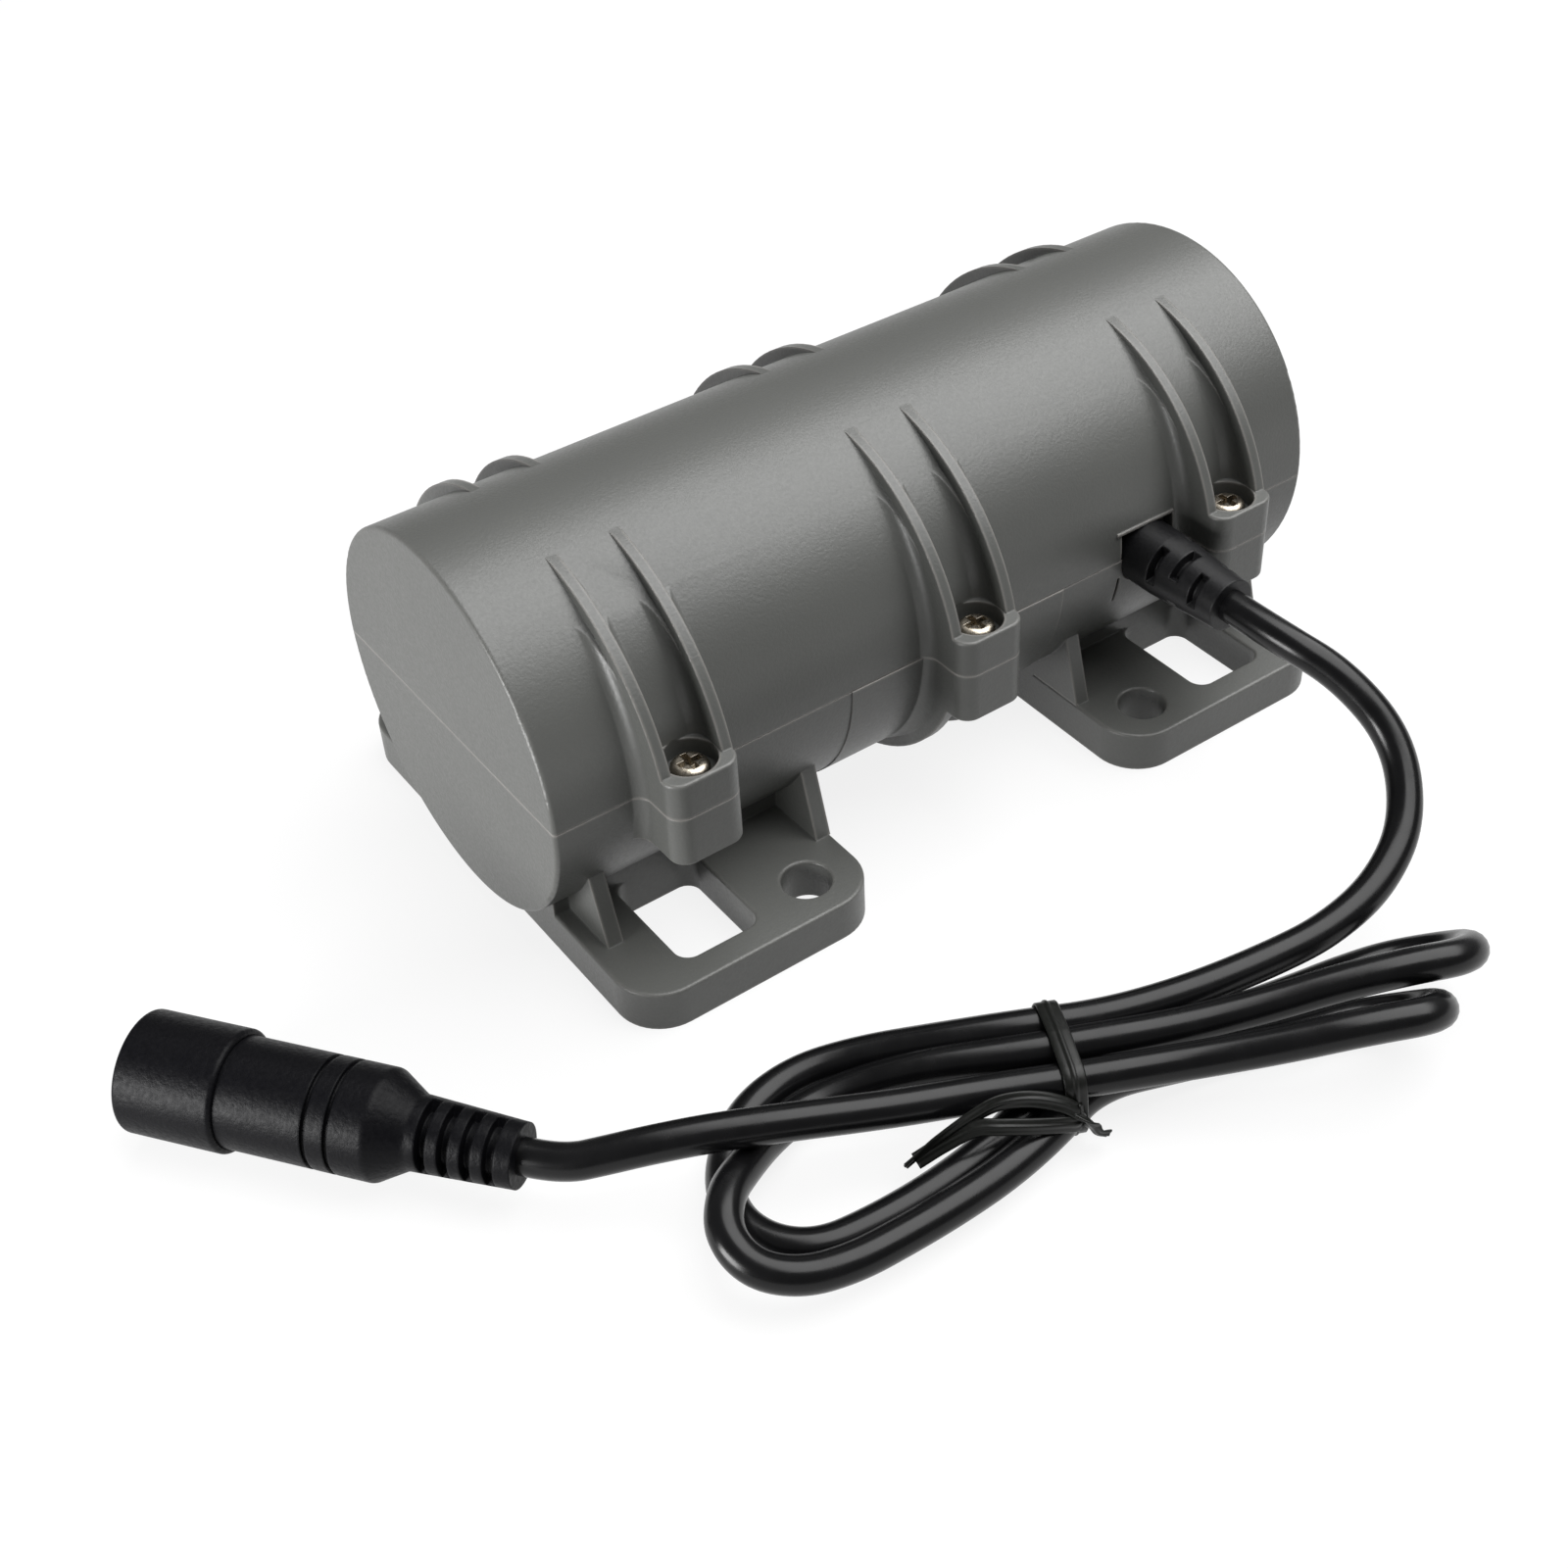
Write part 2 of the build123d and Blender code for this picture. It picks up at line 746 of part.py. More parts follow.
with BuildPart() as jack_centre_pin:
    add(connector_disc(pin_recess, insulator_end, pin_radius))
    fillet(jack_centre_pin.edges().filter_by(GeomType.CIRCLE), pin_point_radius)
save(jack_centre_pin.part, "jack_centre_pin")

# ================================================================ motor, fixed parts
with BuildPart() as motor_can:
    add(shaft_tube(can_front_x, can_rear_x, can_radius, can_radius - can_wall))
    add(shaft_tube(can_front_x, can_front_inner_x, can_radius - can_wall))
    add(shaft_tube(can_front_x - front_boss_length, can_front_inner_x, bearing_boss_radius))
    fillet(motor_can.edges().filter_by(GeomType.CIRCLE).group_by(Axis.X)[1], can_edge_radius)
    add(
        shaft_tube(bearing_front_x - bearing_width / 2, can_front_inner_x, bearing_outer_radius),
        mode=Mode.SUBTRACT,
    )
    add(shaft_tube(can_front_x - front_boss_length, can_front_x, shaft_hole_radius), mode=Mode.SUBTRACT)
save(motor_can.part, "motor_can")

with BuildPart() as motor_end_cap:
    add(shaft_tube(can_rear_x, can_rear_x + cap_thickness, can_radius))
    add(shaft_tube(can_rear_x - cap_lip, can_rear_x, cap_lip_radius, board_radius + board_gap))
    add(shaft_tube(can_rear_x, can_rear_x + rear_boss_length, bearing_boss_radius))
    # posts that carry the driver board
    with BuildSketch(cross_plane(board_x + board_thickness)):
        with PolarLocations(board_screw_circle, board_screw_count, start_angle=90):
            Circle(board_screw_head_radius)
    extrude(amount=can_rear_x - board_x - board_thickness)
    add(
        shaft_tube(can_rear_x, bearing_rear_x + bearing_width / 2, bearing_outer_radius),
        mode=Mode.SUBTRACT,
    )
    add(shaft_tube(can_rear_x, can_rear_x + rear_boss_length, shaft_hole_radius), mode=Mode.SUBTRACT)
    with BuildSketch(cross_plane(board_x + board_thickness)):
        with PolarLocations(board_screw_circle, board_screw_count, start_angle=90):
            Circle(board_screw_radius)
    extrude(amount=board_screw_grip + screw_tip_gap, mode=Mode.SUBTRACT)
save(motor_end_cap.part, "motor_end_cap")

with BuildPart() as stator_core:
    with BuildSketch(cross_plane(motor_middle - stator_length / 2)):
        Circle(can_radius - can_wall)
        Circle(stator_yoke_radius, mode=Mode.SUBTRACT)
        Circle(stator_bore_radius + pole_shoe_thickness)
        with PolarLocations(stator_bore_radius, tooth_count, start_angle=180 / tooth_count):
            Rectangle(4 * pole_shoe_thickness, slot_opening, mode=Mode.SUBTRACT)
        with PolarLocations((stator_bore_radius + stator_yoke_radius) / 2, tooth_count):
            Rectangle(stator_yoke_radius - stator_bore_radius + pole_shoe_thickness, tooth_width)
        Circle(stator_bore_radius, mode=Mode.SUBTRACT)
    extrude(amount=stator_length)
save(stator_core.part, "stator_core")

coil_gap = 0.2
coil_corner_radius = 1.2
coil_inner = stator_bore_radius + pole_shoe_thickness + coil_gap
coil_depth = 2.0
coil_hole = (stator_length + coil_gap, tooth_width + coil_gap)
with BuildPart() as stator_windings:
    for tooth in range(tooth_count):
        tooth_plane = Plane(origin=(motor_middle, 0, axis_height)).rotated(
            ((tooth + 0.5) * 360 / tooth_count, 0, 0)
        )
        with BuildSketch(tooth_plane.offset(coil_inner)):
            RectangleRounded(
                coil_hole[0] + 2 * coil_wire_build,
                coil_hole[1] + 2 * coil_wire_build,
                coil_corner_radius,
            )
            Rectangle(*coil_hole, mode=Mode.SUBTRACT)
        extrude(amount=coil_depth)
save(stator_windings.part, "stator_windings")

with BuildPart() as driver_board:
    add(shaft_tube(board_x, board_x + board_thickness, board_radius, board_bore_radius))
    with BuildSketch(cross_plane(board_x)):
        with PolarLocations(board_screw_circle, board_screw_count, start_angle=90):
            Circle(board_screw_radius + cap_clearance)
    extrude(amount=board_thickness, mode=Mode.SUBTRACT)
save(driver_board.part, "driver_board")

with BuildPart() as board_screws:
    with BuildSketch(cross_plane(board_x)):
        with PolarLocations(board_screw_circle, board_screw_count, start_angle=90):
            Circle(board_screw_head_radius)
    extrude(amount=-board_screw_head_height)
    with BuildSketch(cross_plane(board_x)):
        with PolarLocations(board_screw_circle, board_screw_count, start_angle=90):
            Circle(board_screw_radius)
    extrude(amount=board_thickness + board_screw_grip)
save(board_screws.part, "board_screws")

with BuildPart() as driver_chips:
    with BuildSketch(cross_plane(board_x + board_thickness)):
        with PolarLocations(chip_circle, chip_count, start_angle=30):
            Rectangle(*chip_size)
    extrude(amount=chip_height)
save(driver_chips.part, "driver_chips")

with BuildPart() as hall_sensors:
    with BuildSketch(cross_plane(board_x)):
        with PolarLocations(sensor_circle, chip_count, start_angle=30):
            Rectangle(*sensor_size)
    extrude(amount=-sensor_height)
save(hall_sensors.part, "hall_sensors")

terminal_y = -13.0
terminal_gap = 9.0
terminal_thickness = 0.8
terminal_width = 2.8
terminal_length = 4.0
cap_face_x = can_rear_x + cap_thickness
with BuildPart() as motor_terminals:
    with BuildSketch(cross_plane(cap_face_x)):
        with GridLocations(0, terminal_gap, 1, 2):
            with Locations((terminal_y, 0)):
                Rectangle(terminal_thickness, terminal_width)
    extrude(amount=terminal_length)
save(motor_terminals.part, "motor_terminals")

# the two cores of the cord, from the strain relief to the outer faces of the terminals
lead_radius = 0.7
lead_half_gap = 0.85
lead_bend_radius = 0.9
lead_face_y = terminal_y - terminal_thickness / 2 - lead_radius
lead_start_y = relief_flange_y - 0.3
lead_bend_y = -14.6
lead_mid_x = cap_face_x + terminal_length - 0.1
lead_end_x = cap_face_x + terminal_length - 1.0
lead_mid_z = 2.1
for lead_name, lead_side in (("red_lead", 1), ("black_lead", -1)):
    lead_points = [
        (relief_x, lead_start_y, relief_z + lead_side * lead_half_gap),
        (relief_x, lead_bend_y, relief_z + lead_side * lead_half_gap),
        (lead_mid_x, lead_face_y, axis_height + lead_side * lead_mid_z),
        (lead_end_x, lead_face_y, axis_height + lead_side * terminal_gap / 2),
    ]
    with BuildPart() as inner_lead:
        with BuildLine():
            inner_path = FilletPolyline(*lead_points, radius=lead_bend_radius)
        with BuildSketch(Plane(origin=inner_path @ 0, z_dir=inner_path % 0)):
            Circle(lead_radius)
        sweep(path=inner_path)
    save(inner_lead.part, lead_name)

for grip_name, grip_x in zip(("front_grip_band", "rear_grip_band"), grip_xs):
    with BuildPart() as grip_band:
        add(shaft_tube(grip_x - grip_width / 2, grip_x + grip_width / 2, cavity_radius, can_radius))
    save(grip_band.part, grip_name)

# ================================================================ bearings
race_gap = 0.75
inner_race_radius = ball_pitch_radius - race_gap
outer_race_radius = ball_pitch_radius + race_gap
cage_half_depth = 0.4
cage_front = 0.6
cage_back = 1.75

for bearing_name, bearing_x in (("front", bearing_front_x), ("rear", bearing_rear_x)):
    race_start = bearing_x - bearing_width / 2
    race_end = bearing_x + bearing_width / 2
    ball_plane = cross_plane(bearing_x)
    with BuildPart() as ball_track:
        with BuildSketch(Plane(origin=(bearing_x, 0, axis_height), x_dir=(1, 0, 0), z_dir=(0, 1, 0))):
            with Locations((0, -ball_pitch_radius)):
                Circle(ball_radius + race_clearance)
        revolve(axis=Axis((bearing_x, 0, axis_height), (1, 0, 0)))
    with BuildPart() as outer_race:
        add(shaft_tube(race_start, race_end, bearing_outer_radius, outer_race_radius))
        add(ball_track.part, mode=Mode.SUBTRACT)
    save(outer_race.part, f"{bearing_name}_bearing_outer_race")
    with BuildPart() as inner_race:
        add(shaft_tube(race_start, race_end, inner_race_radius, shaft_radius))
        add(ball_track.part, mode=Mode.SUBTRACT)
    save(inner_race.part, f"{bearing_name}_bearing_inner_race")
    with BuildPart() as balls:
        with Locations(ball_plane):
            with PolarLocations(ball_pitch_radius, ball_count):
                Sphere(ball_radius)
    save(balls.part, f"{bearing_name}_bearing_balls")
    with BuildPart() as cage:
        add(
            shaft_tube(
                bearing_x - cage_front,
                bearing_x + cage_back,
                ball_pitch_radius + cage_half_depth,
                ball_pitch_radius - cage_half_depth,
            )
        )
        with Locations(ball_plane):
            with PolarLocations(ball_pitch_radius, ball_count):
                Sphere(ball_radius + race_clearance, mode=Mode.SUBTRACT)
    save(cage.part, f"{bearing_name}_ball_cage")

# ================================================================ rotor
with BuildPart() as motor_shaft:
    add(shaft_tube(-shaft_half_length, shaft_half_length, shaft_radius))
    chamfer(motor_shaft.edges().filter_by(GeomType.CIRCLE), shaft_chamfer)
save(motor_shaft.part, "motor_shaft")

with BuildPart() as rotor_core:
    add(
        shaft_tube(
            motor_middle - rotor_length / 2,
            motor_middle + rotor_length / 2,
            rotor_core_radius,
            shaft_radius,
        )
    )
save(rotor_core.part, "rotor_core")

with BuildPart() as rotor_magnets:
    with BuildSketch(cross_plane(motor_middle - rotor_length / 2)):
        Circle(magnet_radius)
        Circle(rotor_core_radius, mode=Mode.SUBTRACT)
        with PolarLocations(0, magnet_count):
            with Locations((magnet_radius, 0)):
                Rectangle(magnet_radius, magnet_gap, mode=Mode.SUBTRACT)
    extrude(amount=rotor_length)
save(rotor_magnets.part, "rotor_magnets")

for weight_name, weight_end in (("front", -1), ("rear", 1)):
    weight_start = weight_end * weight_x - weight_length / 2
    with BuildPart() as weight:
        with BuildSketch(cross_plane(weight_start)):
            Circle(weight_radius)
            Rectangle(
                2 * weight_radius, weight_radius, align=(Align.CENTER, Align.MIN), mode=Mode.SUBTRACT
            )
            Circle(weight_hub_radius)
            Circle(shaft_radius, mode=Mode.SUBTRACT)
        extrude(amount=weight_length)
        with BuildSketch(Plane.XY.offset(axis_height)):
            with Locations((weight_end * weight_x, 0)):
                Circle(grub_radius)
        extrude(amount=weight_hub_radius, mode=Mode.SUBTRACT)
    save(weight.part, f"{weight_name}_eccentric_weight")

with BuildPart() as weight_grub_screws:
    with BuildSketch(Plane.XY.offset(axis_height + shaft_radius)):
        with GridLocations(2 * weight_x, 0, 2, 1):
            Circle(grub_radius)
    extrude(amount=weight_hub_radius - shaft_radius - grub_recess)
    with BuildSketch(Plane.XY.offset(axis_height + weight_hub_radius)):
        with GridLocations(2 * weight_x, 0, 2, 1):
            RegularPolygon(grub_socket_radius, 6)
    extrude(amount=-grub_socket_depth, mode=Mode.SUBTRACT)
save(weight_grub_screws.part, "weight_grub_screws")

for part_name, part in made:
    print(part_name, "solids", len(part.solids()), "volume", round(part.volume, 1), "valid", part.is_valid)
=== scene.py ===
"""Vibration motor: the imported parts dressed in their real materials, with its cord and tie.

The housing is two moulded grey shells on feet. A glossy black cord leaves it through a
slotted strain relief, is folded into a tied hank on the floor and ends in a barrel connector.
"""

import json
import logging
import math
from dataclasses import dataclass, field
from enum import Enum

import bmesh
import bpy
from mathutils import Matrix, Vector


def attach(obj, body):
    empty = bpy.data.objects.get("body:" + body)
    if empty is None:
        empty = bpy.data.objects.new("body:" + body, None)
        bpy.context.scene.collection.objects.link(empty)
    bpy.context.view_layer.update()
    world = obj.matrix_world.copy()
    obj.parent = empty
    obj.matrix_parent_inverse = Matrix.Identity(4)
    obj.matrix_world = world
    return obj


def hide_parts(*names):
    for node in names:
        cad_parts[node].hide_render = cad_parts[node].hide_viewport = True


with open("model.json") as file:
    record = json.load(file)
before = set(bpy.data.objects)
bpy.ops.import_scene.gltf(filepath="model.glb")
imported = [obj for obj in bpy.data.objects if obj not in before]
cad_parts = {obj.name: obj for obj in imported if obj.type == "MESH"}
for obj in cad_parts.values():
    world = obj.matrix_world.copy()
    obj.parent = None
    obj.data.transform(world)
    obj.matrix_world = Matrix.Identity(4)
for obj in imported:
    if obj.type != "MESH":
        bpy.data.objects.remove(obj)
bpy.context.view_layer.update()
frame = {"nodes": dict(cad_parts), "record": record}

MM = 0.001
HOUSING_BODY = "housing"
PARTING_HEIGHT = 23.7 * MM
FLASH_WIDTH = 0.18 * MM
FLASH_BREAKS = (0.3, 0.6)
FLASH_FAINTEST = 0.25
EDGE_BAND = 0.35 * MM
EDGE_OPENNESS = (0.95, 0.6)
EDGE_STRENGTH = 0.6
CORD_RADIUS = 1.9 * MM
NOISE_DETAIL = 2.0
NOISE_ROUGHNESS = 0.6
NOISE_SPAN = (0.3, 0.7)
MIX_FIRST, MIX_SECOND, MIX_RESULT = 6, 7, 2

log = logging.getLogger("vibration_motor")


# ------------------------------------------------------------------ helpers
def linear(hex_colour: str) -> tuple[float, float, float, float]:
    """Turn an sRGB hex colour into linear RGBA.

    Args:
        hex_colour: Six hex digits, with or without a leading hash.

    Returns:
        Linear red, green and blue, with an alpha of 1.
    """
    digits = hex_colour.lstrip("#")
    channels = [int(digits[i : i + 2], 16) / 255 for i in (0, 2, 4)]
    values = [c / 12.92 if c <= 0.04045 else ((c + 0.055) / 1.055) ** 2.4 for c in channels]
    return (values[0], values[1], values[2], 1.0)


def add_node(
    tree: bpy.types.NodeTree,
    kind: str,
    values: dict | None = None,
    links: dict | None = None,
    **settings: object,
) -> bpy.types.Node:
    """Add one shader node with its settings, socket values and incoming links.

    Args:
        tree: Node tree to add to.
        kind: Blender type name of the node.
        values: Input socket name or number to its value.
        links: Input socket name or number to the output socket that feeds it.
        **settings: Properties of the node itself.

    Returns:
        The new node.
    """
    node = tree.nodes.new(kind)
    for name, value in settings.items():
        setattr(node, name, value)
    for socket, value in (values or {}).items():
        node.inputs[socket].default_value = value
    for socket, source in (links or {}).items():
        tree.links.new(source, node.inputs[socket])
    return node


def new_piece(name: str, mesh_maker: bmesh.types.BMesh, smooth: bool = True) -> bpy.types.Object:
    """Make a mesh object at the origin from a finished bmesh, and free the bmesh.

    Args:
        name: Name of the piece.
        mesh_maker: The finished shape, with its place in its vertices.
        smooth: Whether its faces are shaded smooth.

    Returns:
        The new object, linked to the scene.
    """
    bmesh.ops.recalc_face_normals(mesh_maker, faces=mesh_maker.faces)
    mesh = bpy.data.meshes.new(name)
    mesh_maker.to_mesh(mesh)
    mesh_maker.free()
    if smooth:
        mesh.shade_smooth()
    else:
        mesh.shade_flat()
    piece = bpy.data.objects.new(name, mesh)
    bpy.context.scene.collection.objects.link(piece)
    return piece


def mount(piece: bpy.types.Object, body: str, slot: str, *nodes: str) -> None:
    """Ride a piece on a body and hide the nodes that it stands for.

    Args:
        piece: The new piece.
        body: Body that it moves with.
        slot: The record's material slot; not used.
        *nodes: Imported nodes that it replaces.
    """
    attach(piece, body)
    if nodes:
        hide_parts(*nodes)


# ------------------------------------------------------------------ finishes
class Grain(Enum):
    """How a surface was made, which sets the direction of its fine pattern."""

    MOULDED = (1.0, 1.0, 1.0)
    DRAWN_ALONG_SHAFT = (0.04, 1.0, 1.0)
    STACKED_ACROSS_SHAFT = (1.0, 0.02, 0.02)
    GROUND_ROUND_SHAFT = (1.0, 0.06, 0.06)


@dataclass(frozen=True)
class Finish:
    """One real material and how its surface was made.

    Attributes:
        name: Common name and process.
        colour: Main colour, sRGB hex.
        shade: Colour that slow mottling leans to, sRGB hex.
        rough: Lowest and highest roughness.
        metallic: 1 for bare metal.
        specular: Strength of the gloss at right angles; 0.5 is a plain smooth plastic.
        coat: Weight of a clear top layer.
        grain: Direction of the fine pattern.
        grain_mm: Size of one grain.
        relief_mm: Height of the grain.
        mottle_mm: Size of the slow colour changes.
        edge_mm: Radius that the light finds on sharp moulded edges, 0 for none.
        edge_wear_and_highlight: Paler colour on outer edges, partly the wear that handling leaves and
            partly a painted highlight, or None.
        flash_height: Height of the moulding line round the piece, metres, or None.
    """

    name: str
    colour: str
    shade: str
    rough: tuple[float, float] = (0.4, 0.5)
    metallic: float = 0.0
    specular: float = 0.5
    coat: float = 0.0
    grain: Grain = Grain.MOULDED
    grain_mm: float = 0.4
    relief_mm: float = 0.01
    mottle_mm: float = 12.0
    edge_mm: float = 0.0
    edge_wear_and_highlight: str | None = None
    flash_height: float | None = None

    def build(self) -> bpy.types.Material:
        """Make the material's shader.

        Returns:
            The new material.
        """
        material = bpy.data.materials.new(self.name)
        material.use_nodes = True
        tree = material.node_tree
        shader = tree.nodes["Principled BSDF"]
        shader.inputs["Metallic"].default_value = self.metallic
        shader.inputs["Coat Weight"].default_value = self.coat
        if not self.metallic:
            shader.inputs["Specular IOR Level"].default_value = self.specular
        place = add_node(tree, "ShaderNodeTexCoord").outputs["Object"]
        stretched = add_node(
            tree, "ShaderNodeMapping", {"Scale": self.grain.value}, {"Vector": place}
        ).outputs["Vector"]
        grain = self.noise(tree, stretched, self.grain_mm)
        mottle = self.noise(tree, place, self.mottle_mm)
        # half of the shading follows the grain, and half the slow mottling
        half_grain = add_node(tree, "ShaderNodeMath", {1: 0.5}, {0: grain}, operation="MULTIPLY")
        blend = add_node(
            tree,
            "ShaderNodeMath",
            {1: 0.5},
            {0: mottle, 2: half_grain.outputs[0]},
            operation="MULTIPLY_ADD",
        )
        colour = self.mix(tree, blend.outputs[0], linear(self.colour), linear(self.shade))
        # paler outer edges: partly handling wear, partly a painted highlight where the edges would
        # catch the light
        if self.edge_wear_and_highlight:
            pale_wear_and_highlight = linear(self.edge_wear_and_highlight)
            colour = self.mix(tree, self.outer_edges(tree), colour, pale_wear_and_highlight)
            if self.flash_height is not None:
                # the parting flash as a pale line: a painted highlight standing for the light that its
                # ridge catches
                colour = self.mix(tree, self.flash_line_and_highlight(tree, place, mottle), colour, pale_wear_and_highlight)
        tree.links.new(colour, shader.inputs["Base Color"])
        rough = add_node(
            tree,
            "ShaderNodeMapRange",
            {
                "From Min": NOISE_SPAN[0],
                "From Max": NOISE_SPAN[1],
                "To Min": self.rough[0],
                "To Max": self.rough[1],
            },
            {"Value": grain},
        )
        tree.links.new(rough.outputs["Result"], shader.inputs["Roughness"])
        normal = None
        if self.edge_mm > 0:
            normal = add_node(
                tree, "ShaderNodeBevel", {"Radius": self.edge_mm * MM}, samples=6
            ).outputs["Normal"]
        if self.relief_mm > 0:
            normal = add_node(
                tree,
                "ShaderNodeBump",
                {"Distance": self.relief_mm * MM},
                {"Height": grain} | ({"Normal": normal} if normal else {}),
            ).outputs["Normal"]
        if normal:
            tree.links.new(normal, shader.inputs["Normal"])
        return material

    @staticmethod
    def noise(
        tree: bpy.types.NodeTree, place: bpy.types.NodeSocket, size_mm: float
    ) -> bpy.types.NodeSocket:
        """Noise whose lumps are about one real size across.

        Args:
            tree: The material's node tree.
            place: Coordinates that the noise reads.
            size_mm: Size of one lump, millimetres.

        Returns:
            The noise's output, from 0 to 1.
        """
        return add_node(
            tree,
            "ShaderNodeTexNoise",
            {
                "Scale": 1 / (size_mm * MM),
                "Detail": NOISE_DETAIL,
                "Roughness": NOISE_ROUGHNESS,
            },
            {"Vector": place},
        ).outputs["Fac"]

    @staticmethod
    def mix(
        tree: bpy.types.NodeTree,
        factor: bpy.types.NodeSocket,
        first: tuple | bpy.types.NodeSocket,
        second: tuple,
    ) -> bpy.types.NodeSocket:
        """Mix a colour towards a second one.

        Args:
            tree: The material's node tree.
            factor: Output that says how far.
            first: Linear colour, or the output that carries it.
            second: Linear colour that it goes to.

        Returns:
            The mixed colour's output.
        """
        mixer = add_node(
            tree, "ShaderNodeMix", {MIX_SECOND: second}, {"Factor": factor}, data_type="RGBA"
        )
        if isinstance(first, tuple):
            mixer.inputs[MIX_FIRST].default_value = first
        else:
            tree.links.new(first, mixer.inputs[MIX_FIRST])
        return mixer.outputs[MIX_RESULT]

    @staticmethod
    def outer_edges(tree: bpy.types.NodeTree) -> bpy.types.NodeSocket:
        """Mask of outer edges, where little of the piece lies behind the surface.

        Args:
            tree: The material's node tree.

        Returns:
            The mask's output, 1 on an edge.
        """
        depth = add_node(
            tree,
            "ShaderNodeAmbientOcclusion",
            {"Distance": EDGE_BAND},
            samples=8,
            inside=True,
            only_local=True,
        )
        mask = add_node(
            tree,
            "ShaderNodeMapRange",
            {
                "From Min": EDGE_OPENNESS[0],
                "From Max": EDGE_OPENNESS[1],
                "To Max": EDGE_STRENGTH,
            },
            {"Value": depth.outputs["AO"]},
        )
        return mask.outputs["Result"]

    def flash_line_and_highlight(
        self,
        tree: bpy.types.NodeTree,
        place: bpy.types.NodeSocket,
        breaks: bpy.types.NodeSocket,
    ) -> bpy.types.NodeSocket:
        """Mask of the thin line that the two mould halves leave at the parting, which is painted paler
        as a highlight on that small ridge.

        Args:
            tree: The material's node tree.
            place: Object coordinates.
            breaks: Noise that makes the line fade in places.

        Returns:
            The mask's output, 1 on the line.
        """
        height = add_node(tree, "ShaderNodeSeparateXYZ", links={0: place}).outputs["Z"]
        away = add_node(
            tree,
            "ShaderNodeMath",
            {1: self.flash_height, 2: FLASH_WIDTH / 2},
            {0: height},
            operation="COMPARE",
        )
        fade = add_node(
            tree,
            "ShaderNodeMapRange",
            {
                "From Min": FLASH_BREAKS[0],
                "From Max": FLASH_BREAKS[1],
                "To Min": FLASH_FAINTEST,
            },
            {"Value": breaks},
        )
        return add_node(
            tree,
            "ShaderNodeMath",
            links={0: away.outputs[0], 1: fade.outputs["Result"]},
            operation="MULTIPLY",
        ).outputs[0]


